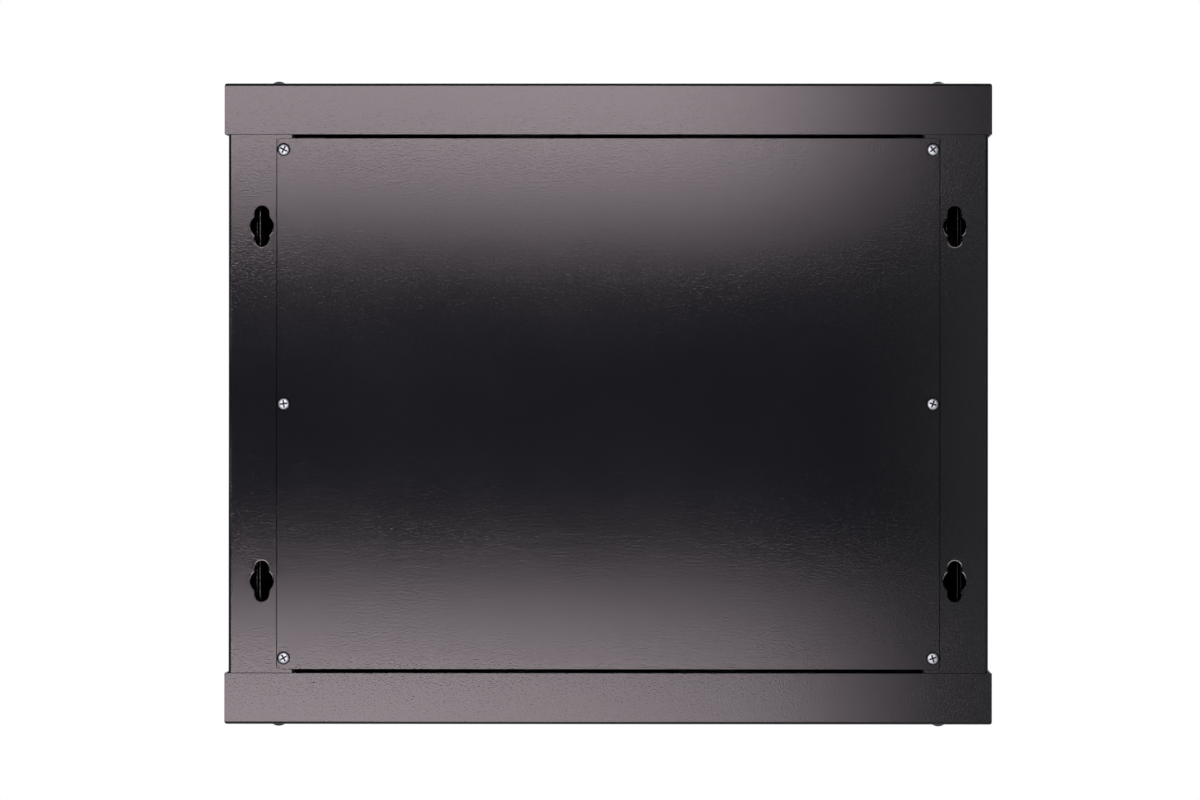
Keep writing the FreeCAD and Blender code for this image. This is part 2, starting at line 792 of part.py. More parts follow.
def rack_rail(label, side, face, inward):
    """A rail with three square holes in each unit."""
    body = new_body(label)
    thick = s.rack_sheet
    pad(
        body, "Z", -s.rack_length / 2, s.rack_length / 2,
        polygon([
            (side * rack_inner, face),
            (side * rack_outer, face),
            (side * rack_outer, face + inward * s.rack_leg),
            (side * (rack_outer - thick), face + inward * s.rack_leg),
            (side * (rack_outer - thick), face + inward * thick),
            (side * rack_inner, face + inward * thick),
        ]),
    )
    fillet(body, s.post_fold + thick, dict(x=side * rack_outer, y=face))
    half = s.rack_hole / 2
    x = side * rack_hole_x
    flange = span(face, face + inward * thick)
    lowest = s.rack_unit * (1 - UNITS) / 2
    holes = []
    for step in (-1, 0, 1):
        z = lowest + step * s.rack_pitch
        holes.append(rectangle(x - half, z - half, x + half, z + half))
    unit_cut = pocket(body, "Y", *flange, *holes)
    repeat(body, unit_cut, "Z", s.rack_unit, UNITS)
    leg = span(side * (rack_outer - thick), side * rack_outer)
    bolt_y = face + inward * s.rack_bolt_back
    pocket(body, "X", *leg, *[square(bolt_y, end * rack_bolt_z, s.bolt_square) for end in (-1, 1)])
    return body


def rack_bolts(label, side, bolt_y):
    """Two bolts and their nuts behind the side rails."""
    body = new_body(label)
    head_face = rack_outer - s.rack_sheet
    nut_face = front_post_inner + s.post_sheet + s.rack_gap
    nut_end = nut_face + s.nut_height
    places = [(bolt_y, end * rack_bolt_z) for end in (-1, 1)]
    head_top = head_face - s.rack_bolt_head_height
    heads = [hexagon(y, z, s.rack_bolt_head) for y, z in places]
    shanks = [ring(y, z, s.bolt_shank) for y, z in places]
    nuts = [hexagon(y, z, s.nut_flats) for y, z in places]
    pad(body, "X", *span(side * head_top, side * head_face), *heads)
    pad(body, "X", *span(side * head_face, side * nut_end), *shanks)
    pad(body, "X", *span(side * nut_face, side * nut_end), *nuts)
    return body


for name, side in SIDES.items():
    rack_rail(f"front_rack_rail_{name}", side, -s.front_rack_face, 1)
    rack_bolts(f"front_rack_bolts_{name}", side, front_bolt_home)
    rack_rail(f"rear_rack_rail_{name}", side, -s.rear_rack_face, -1)
    rack_bolts(f"rear_rack_bolts_{name}", side, rear_bolt_home)


# ---------------------------------------------------------------------------
# Cam locks: barrel with bezel, nut, plug and cam
# ---------------------------------------------------------------------------
def lock_barrel(label, axis, x, y, face, inward, length, seat):
    """Bezel in front of the face, a barrel behind it and the nut on its seat; inward is 1 or -1."""
    body = new_body(label)
    front = face - inward * s.lock_bezel_height
    end = face + inward * length
    pad(body, axis, *span(front, face), ring(x, y, s.lock_bezel, LOCK_SIDES))
    pad(body, axis, *span(face, end), ring(x, y, s.lock_barrel, LOCK_SIDES))
    pad(body, axis, *span(seat, seat + inward * s.lock_nut_height), hexagon(x, y, s.lock_nut_flats))
    pocket(body, axis, *span(front, end), ring(x, y, s.lock_plug + tight_hole, LOCK_SIDES))
    return body


def lock_plug(label, axis, x, y, face, inward, length, cam_level):
    """Key plug in the barrel, with a square shaft that carries the cam."""
    body = new_body(label)
    front = face - inward * s.lock_plug_height
    barrel_end = face + inward * length
    pad(body, axis, *span(front, barrel_end), ring(x, y, s.lock_plug, LOCK_SIDES))
    pad(body, axis, *span(barrel_end, cam_level), square(x, y, s.lock_shaft))
    half_width = s.key_slot_width / 2
    half_length = s.key_slot_length / 2
    pocket(
        body, axis, *span(front, front + inward * s.key_slot_depth),
        rectangle(x - half_width, y - half_length, x + half_width, y + half_length),
    )
    return body


def lock_cam(label, axis, x, y, cam_level, inward, width, length, along):
    """Cam plate, and the screw that holds it on the shaft; it points back along direction 0 or 1."""
    body = new_body(label)
    far = cam_level + inward * s.cam_thickness
    half = width / 2
    low = (x - length, y - half) if along == 0 else (x - half, y - length)
    pad(body, axis, *span(cam_level, far), rectangle(*low, x + half, y + half))
    pad(body, axis, *span(far, far + inward * s.cam_screw_height), hexagon(x, y, s.cam_screw_flats))
    return body


# ---------------------------------------------------------------------------
# Side panels: pans that stand in the lower side rail and tilt out
# ---------------------------------------------------------------------------
side_panel_half = side_rail_edge - s.seat_gap
side_lock_z = side_panel_half - s.side_lock_drop
side_cam_x = catch_x - s.post_sheet - s.side_cam_clearance
SIDE_VENTS = 8

for name, side in SIDES.items():
    panel = new_body(f"side_panel_{name}")
    sheet_inner = side * (body_half - s.panel_sheet)
    outer = side * body_half
    flange_end = sheet_inner - side * s.side_panel_flange
    pad(
        panel, "X", *span(flange_end, outer),
        rectangle(side_panel_front, -side_panel_half, side_panel_rear, side_panel_half),
    )
    wall = s.panel_sheet
    pocket(
        panel, "X", *span(flange_end, sheet_inner),
        rectangle(
            side_panel_front + wall, wall - side_panel_half, side_panel_rear - wall, side_panel_half - wall
        ),
    )
    fillet(
        panel, s.post_fold + wall,
        dict(x=outer, y=side_panel_front), dict(x=outer, y=side_panel_rear),
        dict(x=outer, z=side_panel_half),
    )
    tab = span(side * tab_x, side * (tab_x + wall))
    for y in tab_places:
        pad(
            panel, "X", *tab,
            rectangle(
                y - s.tab_width / 2, -side_panel_half - s.tab_depth,
                y + s.tab_width / 2, wall / 2 - side_panel_half,
            ),
        )
    first_vent = side_middle - s.vent_pitch * (SIDE_VENTS - 1) / 2
    side_vent = vent(first_vent, -s.vent_height, s.side_vent_length, s.vent_width, 1)
    vent_cut = pocket(panel, "X", *span(sheet_inner, outer), side_vent)
    repeat(panel, vent_cut, "Y", s.vent_pitch, SIDE_VENTS)
    lock_hole = ring(side_middle, side_lock_z, s.lock_barrel + 2 * s.hole_clearance, LOCK_SIDES)
    pocket(panel, "X", *span(sheet_inner, outer), lock_hole)

    cam_level = side * (side_cam_x)
    lock = ("X", side_middle, side_lock_z)
    lock_barrel(f"side_lock_body_{name}", *lock, outer, -side, s.side_barrel_length, sheet_inner)
    lock_plug(f"side_lock_plug_{name}", *lock, outer, -side, s.side_barrel_length, cam_level)
    lock_cam(f"side_lock_cam_{name}", *lock, cam_level, -side, s.side_cam_width, s.side_cam_length, 0)

# ---------------------------------------------------------------------------
# Door: folded frame, glass and gasket
# ---------------------------------------------------------------------------
door_half_width = body_half
door_half_height = skirt_edge - s.door_gap
door_front = cover_front + s.door_recess
door_back = door_front + s.door_depth
door_inner = door_front + s.door_sheet
window_x = door_half_width - s.door_stile
window_z = door_half_height - s.door_bar
hinge_x = s.hinge_edge - door_half_width
hinge_y = door_front + s.door_depth / 2
lock_x = door_half_width - s.lock_edge
pin_hole = s.pin_diameter + tight_hole

door = new_body("door_frame")
pad(
    door, "Y", door_front, door_back,
    rectangle(-door_half_width, -door_half_height, door_half_width, door_half_height),
)
wall = s.door_sheet
cavity_x = door_half_width - wall
cavity_z = door_half_height - wall
mouth_x = door_half_width - s.door_lip
mouth_z = door_half_height - s.door_lip
pocket(door, "Y", door_inner, door_back, rectangle(-mouth_x, -mouth_z, mouth_x, mouth_z))
pocket(door, "Y", door_inner, door_back - wall, rectangle(-cavity_x, -cavity_z, cavity_x, cavity_z))
door_edges = [dict(x=-door_half_width), dict(x=door_half_width), dict(z=-door_half_height), dict(z=door_half_height)]
fillet(door, s.door_fold + wall, *[dict(edge, y=door_front) for edge in door_edges])
pocket(door, "Y", door_front, door_inner, rectangle(-window_x, -window_z, window_x, window_z))
fillet(
    door, s.window_corner,
    *[dict(x=sx * window_x, z=sz * window_z) for sx in (-1, 1) for sz in (-1, 1)],
)
pocket(
    door, "Y", door_front, door_inner,
    ring(lock_x, 0, s.lock_barrel + 2 * s.hole_clearance, LOCK_SIDES),
)
pocket(
    door, "Z", -door_half_height, door_half_height,
    ring(hinge_x, hinge_y, pin_hole, LOCK_SIDES),
)
vent_x = door_half_width - s.door_vent_edge
DOOR_VENTS = 3
door_vents = [
    vent(side * vent_x, step * s.door_vent_pitch, s.door_vent_length, s.vent_width, 1)
    for side in (-1, 1)
    for step in (-DOOR_VENTS, 1)
]
vent_cut = pocket(door, "Y", door_front, door_inner, *door_vents)
repeat(door, vent_cut, "Z", s.door_vent_pitch, DOOR_VENTS)

glass_x = window_x + s.glass_overlap
glass_z = window_z + s.glass_overlap
glass_front = door_inner + s.gasket_thickness
gasket = new_body("glass_gasket")
pad(gasket, "Y", door_inner, glass_front, rectangle(-glass_x, -glass_z, glass_x, glass_z))
reveal_x = window_x + s.gasket_reveal
reveal_z = window_z + s.gasket_reveal
pocket(gasket, "Y", door_inner, glass_front, rectangle(-reveal_x, -reveal_z, reveal_x, reveal_z))

glass = new_body("door_glass")
pad(
    glass, "Y", glass_front, glass_front + s.glass_thickness,
    rectangle(-glass_x, -glass_z, glass_x, glass_z),
)

# ---------------------------------------------------------------------------
# Door lock: the cam turns behind the inner leg of the right front post
# ---------------------------------------------------------------------------
door_cam_level = front_face + s.front_inner_leg + s.cam_clearance
lock = ("Y", lock_x, sized(0))
lock_barrel("door_lock_body", *lock, door_front, 1, s.lock_barrel_length, door_inner)
lock_plug("door_lock_plug", *lock, door_front, 1, s.lock_barrel_length, door_cam_level)
lock_cam("door_lock_cam", *lock, door_cam_level, 1, s.cam_width, s.cam_length, 1)

# ---------------------------------------------------------------------------
# Hinges: spring pins in the door, brackets on the posts
# ---------------------------------------------------------------------------
carriers = new_body("hinge_carriers")
collar_top = door_half_height - s.collar_depth
spring_top = collar_top - s.collar_thickness - s.spring_seat_gap
spring_seat = spring_top - s.spring_length
carrier_arm = spring_seat - s.spring_seat_gap
carrier_wall = hinge_x - s.hinge_edge + s.door_sheet
carrier_back = door_back - s.door_sheet - s.seat_gap
for end in ENDS.values():
    arm = span(end * (carrier_arm - s.post_sheet), end * carrier_arm)
    base = span(end * (carrier_arm - s.post_sheet), end * (carrier_arm + s.carrier_height))
    pad(
        carriers, "Z", *arm,
        rectangle(carrier_wall, door_inner, carrier_wall + s.carrier_width, carrier_back),
    )
    pad(
        carriers, "Z", *base,
        rectangle(carrier_wall, door_inner, carrier_wall + s.carrier_width, door_inner + s.post_sheet),
    )
    pocket(carriers, "Z", *arm, ring(hinge_x, hinge_y, pin_hole, LOCK_SIDES))


COIL_SIDES = 6
COIL_SECTIONS = 19


def coil(body, rise):
    """A coil of square wire around the body's origin, lofted through evenly turned sections."""
    sections = []
    for step in range(COIL_SECTIONS):
        sketch = body.newObject("Sketcher::SketchObject", "Section")
        turn = FreeCAD.Rotation(FreeCAD.Vector(0, 0, 1), 360 * step / COIL_SIDES)
        upright = FreeCAD.Rotation(FreeCAD.Vector(1, 0, 0), 90)
        sketch.Placement = FreeCAD.Placement(FreeCAD.Vector(), turn * upright)
        sketch.setExpression("Placement.Base.z", (rise * step / (COIL_SECTIONS - 1)).text)
        draw_all(sketch, [square(s.spring_diameter / 2, s.spring_wire / 2, s.spring_wire)])
        sections.append(sketch)
    loft = body.newObject("PartDesign::AdditiveLoft", "Coil")
    loft.Profile = sections[0]
    loft.Sections = sections[1:]
    loft.Ruled = True


pin_tip = door_half_height + s.pin_reach
pin_corner = pin_tip - s.pin_length
for level, end in ENDS.items():
    pin = new_body(f"{level}_hinge_pin")
    pad(pin, "Z", *span(end * pin_corner, end * pin_tip), ring(hinge_x, hinge_y, s.pin_diameter, LOCK_SIDES))
    collar = span(end * (collar_top - s.collar_thickness), end * collar_top)
    pad(pin, "Z", *collar, ring(hinge_x, hinge_y, s.collar_diameter))
    blade = span(end * (pin_corner - s.pin_blade), end * pin_corner)
    half = s.pin_diameter / 2
    pad(pin, "Z", *blade, rectangle(hinge_x - half, hinge_y - half, hinge_x + s.pin_tail, hinge_y + half))
    spring = new_body(f"{level}_hinge_spring")
    coil(spring, sized(s.spring_length - s.spring_wire))
    foot = spring_seat if end == 1 else -spring_top
    spring.setExpression("Placement.Base.x", hinge_x.text)
    spring.setExpression("Placement.Base.y", hinge_y.text)
    spring.setExpression("Placement.Base.z", foot.text)
    doc.recompute()

brackets = new_body("hinge_brackets")
bracket_low = skirt_edge + s.bracket_gap
for side in SIDES.values():
    for end in ENDS.values():
        middle = side * -hinge_x
        left = middle - s.bracket_width / 2
        right = middle + s.bracket_width / 2
        arm = span(end * bracket_low, end * (bracket_low + s.bracket_sheet))
        leg = span(end * bracket_low, end * (bracket_low + s.bracket_leg))
        pad(brackets, "Z", *arm, rectangle(left, front_face - s.bracket_reach, right, front_face))
        pad(brackets, "Z", *leg, rectangle(left, front_face - s.bracket_sheet, right, front_face))
        pocket(brackets, "Z", *arm, ring(middle, hinge_y, pin_hole, LOCK_SIDES))

bumpers = new_body("door_bumpers")
bumper_x = body_half - s.bumper_edge
pads = [square(bumper_x, step * s.bumper_spacing / 2, s.bumper_width) for step in (-1, 1)]
pad(bumpers, "Y", door_back + s.seat_gap, front_face, *pads)

# ---------------------------------------------------------------------------
# Earth studs, each with a nut
# ---------------------------------------------------------------------------
floor = -ceiling
frame_stud = new_body("frame_earth_stud")
pad(frame_stud, "Z", floor, floor + s.stud_length, ring(s.stud_side, -s.stud_depth, s.bolt_shank))
pad(frame_stud, "Z", floor, floor + s.nut_height, hexagon(s.stud_side, -s.stud_depth, s.nut_flats))

door_stud = new_body("door_earth_stud")
door_stud_z = s.door_bar / 2 - door_half_height
stud_end = door_back - s.door_sheet
pad(door_stud, "Y", door_inner, stud_end, ring(-s.stud_side, door_stud_z, s.bolt_shank))
pad(door_stud, "Y", door_inner, door_inner + s.nut_height, hexagon(-s.stud_side, door_stud_z, s.nut_flats))

# ---------------------------------------------------------------------------
# Checks, then one STEP file for each sub-part
# ---------------------------------------------------------------------------
doc.recompute()
for item in doc.Objects:
    if "Invalid" in item.State or "Error" in item.State:
        raise RuntimeError(f"{item.Label} is not built: {item.State}")
for label, body in parts.items():
    if body.Shape.isNull() or not body.Shape.isValid():
        raise RuntimeError(f"the shape of {label} is not valid")

os.makedirs("parts", exist_ok=True)
for label, body in parts.items():
    body.Shape.exportStep(f"parts/{label}.step")
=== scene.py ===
# %% [markdown]
# A wall-mounted network cabinet, seen from behind.
#
# The construction model already holds every sheet, bolt and hinge as a plain solid, each in its
# own place. This lesson dresses that model. The folded sheets are copied with rounded edges and
# get a powder coat. The small round things, which the model draws with few faces, are made again
# with smooth turned shapes. Each new piece stands in for its plain solid.

# %% Load the construction model
import json
import math

import bmesh
import bpy
from mathutils import Matrix, Vector


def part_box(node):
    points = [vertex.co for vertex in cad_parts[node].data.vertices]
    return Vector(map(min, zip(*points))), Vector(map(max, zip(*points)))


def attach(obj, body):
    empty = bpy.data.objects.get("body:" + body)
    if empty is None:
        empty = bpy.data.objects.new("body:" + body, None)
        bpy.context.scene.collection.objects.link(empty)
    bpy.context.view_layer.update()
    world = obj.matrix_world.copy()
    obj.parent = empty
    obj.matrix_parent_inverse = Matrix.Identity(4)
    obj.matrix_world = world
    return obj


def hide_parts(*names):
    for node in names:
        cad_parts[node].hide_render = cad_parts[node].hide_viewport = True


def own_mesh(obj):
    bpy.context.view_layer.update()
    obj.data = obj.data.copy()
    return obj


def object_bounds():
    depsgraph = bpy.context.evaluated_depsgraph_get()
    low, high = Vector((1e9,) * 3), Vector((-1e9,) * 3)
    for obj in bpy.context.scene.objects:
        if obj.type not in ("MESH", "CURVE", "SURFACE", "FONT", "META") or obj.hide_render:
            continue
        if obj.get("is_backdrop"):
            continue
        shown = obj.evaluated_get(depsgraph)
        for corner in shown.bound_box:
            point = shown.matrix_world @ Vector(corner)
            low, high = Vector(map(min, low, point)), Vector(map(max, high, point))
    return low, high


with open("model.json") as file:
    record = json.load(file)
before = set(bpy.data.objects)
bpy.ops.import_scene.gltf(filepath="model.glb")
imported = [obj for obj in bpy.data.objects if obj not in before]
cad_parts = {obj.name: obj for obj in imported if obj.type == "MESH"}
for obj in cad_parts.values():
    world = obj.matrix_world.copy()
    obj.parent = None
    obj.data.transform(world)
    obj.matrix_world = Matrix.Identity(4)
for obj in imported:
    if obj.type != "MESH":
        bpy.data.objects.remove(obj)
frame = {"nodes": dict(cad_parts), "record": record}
nodes = frame["nodes"]
cad_low, cad_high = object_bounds()
print("nodes:", len(nodes), "size in m:", [round(v, 4) for v in cad_high - cad_low])

# %% [markdown]
# ## Camera
#
# The cabinet is looked at square from behind, at the height of its middle. A very long lens from
# far away flattens it: the sides of the box stay hidden behind its back, but the low heads of the
# bolts in the covers still stand out above the edge. The view's middle lies a little to the
# left of the cabinet's and above it, so the camera moves by the same small amount. It also stands
# nearly a degree off the square, as a camera on a tripod does.

# %% Camera
VIEW_WIDTH = 0.9379
VIEW_MIDDLE_X, VIEW_MIDDLE_Z = 0.0063, 0.0030
CAMERA_TURN = math.radians(0.8)
CAMERA_TILT = math.radians(-0.03)
camera_data = bpy.data.cameras.new("camera")
camera_data.lens = 300.0
camera_data.sensor_width = 36.0
camera_distance = VIEW_WIDTH * camera_data.lens / camera_data.sensor_width
camera = bpy.data.objects.new("camera", camera_data)
bpy.context.scene.collection.objects.link(camera)
aside = camera_distance * math.sin(CAMERA_TURN)
camera.location = (VIEW_MIDDLE_X - aside, camera_distance, VIEW_MIDDLE_Z)
camera.rotation_euler = (math.radians(90), CAMERA_TILT, math.radians(180) + CAMERA_TURN)
bpy.context.scene.camera = camera
bpy.context.scene.view_settings.view_transform = "Standard"
print("camera distance in m:", round(camera_distance, 3))

# %% [markdown]
# ## Studio
#
# Black satin paint shows very little colour of its own. What the eye reads as its surface is the
# soft mirror image of the lamps, so the lamps are placed first. Two metres behind the cabinet
# hang two softboxes, one above the line of sight and one below it. The gap between them is what
# leaves the middle of the back dark. Both grow dimmer to the right, where the sheen fades, so each
# is built from strips. A third, wide and weak, hangs to their right. Two more softboxes light the
# front, for when the cabinet is seen from there.
#
# A softbox is described by its four edges and by how bright its cloth is, because that is what a
# reflection shows. The power of an area lamp follows from both.

# %% Softboxes
SOFTBOX_PLANE = 2.2
RIGHT_BOX_X = -0.86
WARM = (1.0, 0.85, 0.91)
NEUTRAL = (1.0, 0.97, 0.95)
STRIPS = (0.80, 0.19, 0.03, -0.11, -0.20, -0.29)


def softbox(name, place, target, width, height, brightness, colour=(1.0, 1.0, 1.0)):
    """An area lamp aimed at a point; brightness 1 is as bright as white paper."""
    lamp = bpy.data.lights.new(name, "AREA")
    lamp.shape = "RECTANGLE"
    lamp.size = width
    lamp.size_y = height
    lamp.energy = brightness * math.pi * width * height
    lamp.color = colour
    box = bpy.data.objects.new(name, lamp)
    bpy.context.scene.collection.objects.link(box)
    box.location = place
    box.rotation_euler = (Vector(target) - Vector(place)).to_track_quat("-Z", "Y").to_euler()
    return box


def rear_softbox(name, edges, low, high, levels):
    """Softbox strips side by side in one upright plane, each at its own level."""
    for number, (left, right, level) in enumerate(zip(edges, edges[1:], levels)):
        middle = ((left + right) / 2, SOFTBOX_PLANE, (low + high) / 2)
        facing = (middle[0], 0, middle[2])
        softbox(f"{name}_{number}", middle, facing, left - right, high - low, level, WARM)


rear_softbox("softbox_above", STRIPS, 0.199, 0.65, (6.7, 7.0, 6.9, 4.9, 1.7))
rear_softbox("softbox_below", STRIPS, -0.65, -0.208, (6.8, 6.1, 5.1, 3.7, 1.2))
right_place, right_target = (RIGHT_BOX_X, SOFTBOX_PLANE, 0.0), (RIGHT_BOX_X, 0, 0.0)
softbox("softbox_right", right_place, right_target, 1.08, 1.3, 0.35, NEUTRAL)
softbox("softbox_front_key", (-1.5, -2.2, 1.4), (0, -0.2, 0), 1.8, 1.8, 2.8)
softbox("softbox_front_fill", (1.8, -1.8, 0.6), (0, -0.2, 0), 1.2, 1.6, 1.8)

# %% [markdown]
# The surroundings are white to the eye. For the light on the object they are a room: pale in
# front of the cabinet and dim behind it, where the camera stands.

# %% World
world = bpy.data.worlds.new("studio")
bpy.context.scene.world = world
world.use_nodes = True
sky = world.node_tree
sky.nodes.clear()
direction = sky.nodes.new("ShaderNodeTexCoord")
parts_of_direction = sky.nodes.new("ShaderNodeSeparateXYZ")
room_level = sky.nodes.new("ShaderNodeMapRange")
room_level.inputs["From Min"].default_value = 0.35
room_level.inputs["From Max"].default_value = -0.6
room_level.inputs["To Min"].default_value = 0.018
room_level.inputs["To Max"].default_value = 0.5
room_light = sky.nodes.new("ShaderNodeBackground")
room_light.inputs["Color"].default_value = (0.90, 0.94, 1.0, 1.0)
white = sky.nodes.new("ShaderNodeBackground")
white.inputs["Color"].default_value = (1.0, 1.0, 1.0, 1.0)
rays = sky.nodes.new("ShaderNodeLightPath")
seen_white = sky.nodes.new("ShaderNodeMath")
seen_white.operation = "MAXIMUM"
choice = sky.nodes.new("ShaderNodeMixShader")
result = sky.nodes.new("ShaderNodeOutputWorld")
for start, end in [
    (direction.outputs["Generated"], parts_of_direction.inputs[0]),
    (parts_of_direction.outputs["Y"], room_level.inputs["Value"]),
    (room_level.outputs["Result"], room_light.inputs["Strength"]),
    (rays.outputs["Is Camera Ray"], seen_white.inputs[0]),
    (rays.outputs["Is Transmission Ray"], seen_white.inputs[1]),
    (seen_white.outputs[0], choice.inputs["Fac"]),
    (room_light.outputs[0], choice.inputs[1]),
    (white.outputs[0], choice.inputs[2]),
    (choice.outputs[0], result.inputs["Surface"]),
]:
    sky.links.new(start, end)
print("world nodes:", len(sky.nodes))

# %% [markdown]
# The floor lies well below the cabinet, which hangs on a wall at work height.

# %% Floor
FLOOR_LEVEL = -1.3
ground = bmesh.new()
bmesh.ops.create_grid(ground, x_segments=2, y_segments=2, size=4.0)
bmesh.ops.translate(ground, vec=(0, 0, FLOOR_LEVEL), verts=ground.verts)
floor_mesh = bpy.data.meshes.new("floor")
ground.to_mesh(floor_mesh)
ground.free()
floor = bpy.data.objects.new("floor", floor_mesh)
bpy.context.scene.collection.objects.link(floor)
floor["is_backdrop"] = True
print("floor at", FLOOR_LEVEL)

# %% [markdown]
# ## Finishes
#
# Every finish starts from the same few steps: a material with one Principled shader, a noise in
# the object's own coordinates, and a range, a mix or a bump that the noise drives.

# %% Node helpers


def finish_material(name, colour, roughness, metallic=0.0, specular=0.5):
    """A new material; gives it, its node tree and its shader."""
    material = bpy.data.materials.new(name)
    material.use_nodes = True
    shader = material.node_tree.nodes["Principled BSDF"]
    shader.inputs["Base Color"].default_value = (*colour, 1.0)
    shader.inputs["Roughness"].default_value = roughness
    shader.inputs["Metallic"].default_value = metallic
    shader.inputs["Specular IOR Level"].default_value = specular
    return material, material.node_tree, shader


def feed(tree, value, socket):
    """Links a socket to an input, or sets a number or a colour on it."""
    if isinstance(value, bpy.types.NodeSocket):
        tree.links.new(value, socket)
    elif isinstance(value, tuple):
        socket.default_value = (*value, 1.0)
    else:
        socket.default_value = value


def add_noise(tree, place, scale, detail):
    """A Noise node; its scale is in waves to a metre."""
    noise = tree.nodes.new("ShaderNodeTexNoise")
    noise.inputs["Scale"].default_value = scale
    noise.inputs["Detail"].default_value = detail
    tree.links.new(place, noise.inputs["Vector"])
    return noise.outputs["Fac"]


def add_range(tree, value, low, high, to_low, to_high):
    """A Map Range node from one pair of limits to another."""
    span = tree.nodes.new("ShaderNodeMapRange")
    values = {
        "Value": value, "From Min": low, "From Max": high, "To Min": to_low, "To Max": to_high,
    }
    for label, given_value in values.items():
        feed(tree, given_value, span.inputs[label])
    return span.outputs["Result"]


def add_mix(tree, factor, first, second):
    """A Mix node for colours; its inputs 6 and 7 are the two colours."""
    mix = tree.nodes.new("ShaderNodeMix")
    mix.data_type = "RGBA"
    feed(tree, factor, mix.inputs["Factor"])
    feed(tree, first, mix.inputs[6])
    feed(tree, second, mix.inputs[7])
    return mix.outputs[2]


def object_place(tree):
    return tree.nodes.new("ShaderNodeTexCoord").outputs["Object"]


def add_bump(tree, height, distance):
    """A Bump node; gives its normal."""
    bump = tree.nodes.new("ShaderNodeBump")
    feed(tree, height, bump.inputs["Height"])
    feed(tree, distance, bump.inputs["Distance"])
    return bump.outputs["Normal"]


# %% [markdown]
# Two shader groups are shared. The first is the fine grain of powder coat, which melts into a skin
# of tiny domes. The second is the faint clouding of plated and bare metal. Both give the same
# three things: an uneven gloss, a normal, and a cloud that mixes a dark and a pale tone.

# %% Group helpers
SKIN_OUTPUTS = [
    ("Roughness", "NodeSocketFloat"), ("Normal", "NodeSocketVector"), ("Cloud", "NodeSocketFloat"),
]


def group_of(name, inputs, outputs):
    """An empty shader group with float inputs (name, value) and outputs (name, socket type)."""
    group = bpy.data.node_groups.new(name, "ShaderNodeTree")
    group.interface.new_socket("Place", in_out="INPUT", socket_type="NodeSocketVector")
    for label, value in inputs:
        socket = group.interface.new_socket(label, in_out="INPUT", socket_type="NodeSocketFloat")
        socket.default_value = value
    for label, kind in outputs:
        group.interface.new_socket(label, in_out="OUTPUT", socket_type=kind)
    given = group.nodes.new("NodeGroupInput").outputs
    gives = group.nodes.new("NodeGroupOutput").inputs
    return group, given, gives


def use_group(tree, group, values):
    """Puts a group into a material, at object coordinates, and gives its outputs."""
    node = tree.nodes.new("ShaderNodeGroup")
    node.node_tree = group
    tree.links.new(object_place(tree), node.inputs["Place"])
    for label, value in values.items():
        node.inputs[label].default_value = value
    return node.outputs


def wear_skin(tree, shader, skin, dark, pale):
    """Links a group's cloud, gloss and normal to a shader."""
    tone = add_mix(tree, skin["Cloud"], dark, pale)
    tree.links.new(tone, shader.inputs["Base Color"])
    tree.links.new(skin["Roughness"], shader.inputs["Roughness"])
    tree.links.new(skin["Normal"], shader.inputs["Normal"])


print("a skin gives:", [label for label, kind in SKIN_OUTPUTS])

# %% [markdown]
# Powder grain: two sizes of noise added together drive one Bump node. The small one is the grain
# that can be felt, about a millimetre across. The large one, twice as wide, is the orange peel
# under it. A third noise, a decimetre across, shifts the tone and the gloss a little.

# %% Powder grain group
GRAIN_SCALE, PEEL_SCALE, TONE_SCALE = 1000, 520, 9
PEEL_SHARE = 0.6
powder, given, gives = group_of(
    "powder_grain",
    [("Grain Depth", 0.00004), ("Gloss Low", 0.34), ("Gloss High", 0.42)],
    SKIN_OUTPUTS,
)
grain = add_noise(powder, given["Place"], GRAIN_SCALE, 0.0)
peel = add_noise(powder, given["Place"], PEEL_SCALE, 1.0)
cloud = add_noise(powder, given["Place"], TONE_SCALE, 3.0)
height = powder.nodes.new("ShaderNodeMath")
height.operation = "MULTIPLY_ADD"
height.inputs[1].default_value = PEEL_SHARE
powder.links.new(peel, height.inputs[0])
powder.links.new(grain, height.inputs[2])
normal = add_bump(powder, height.outputs[0], given["Grain Depth"])
powder.links.new(normal, gives["Normal"])
uneven = add_range(powder, cloud, 0.3, 0.7, given["Gloss Low"], given["Gloss High"])
powder.links.new(uneven, gives["Roughness"])
powder.links.new(cloud, gives["Cloud"])
print("powder grain nodes:", len(powder.nodes))

# %% [markdown]
# The cabinet's own paint is a black powder coat with a fair gloss and a touch of blue. The rails
# inside have a plainer and duller black.

# %% Powder-coated steel


def powder_coat(name, dark, pale, depth, gloss):
    """Black paint between two tones; depth is the grain's, gloss its low and high roughness."""
    material, tree, shader = finish_material(name, dark, gloss[0])
    skin = use_group(
        tree, powder, {"Grain Depth": depth, "Gloss Low": gloss[0], "Gloss High": gloss[1]}
    )
    wear_skin(tree, shader, skin, dark, pale)
    return material


cabinet_paint = powder_coat(
    "cabinet_powder_coat", dark=(0.0140, 0.0160, 0.0205), pale=(0.0190, 0.0215, 0.0265),
    depth=0.00003, gloss=(0.080, 0.092),
)
rail_paint = powder_coat(
    "rail_powder_coat", dark=(0.006, 0.006, 0.0065), pale=(0.009, 0.009, 0.0095),
    depth=0.00002, gloss=(0.2, 0.26),
)
print("paints:", cabinet_paint.name, rail_paint.name)
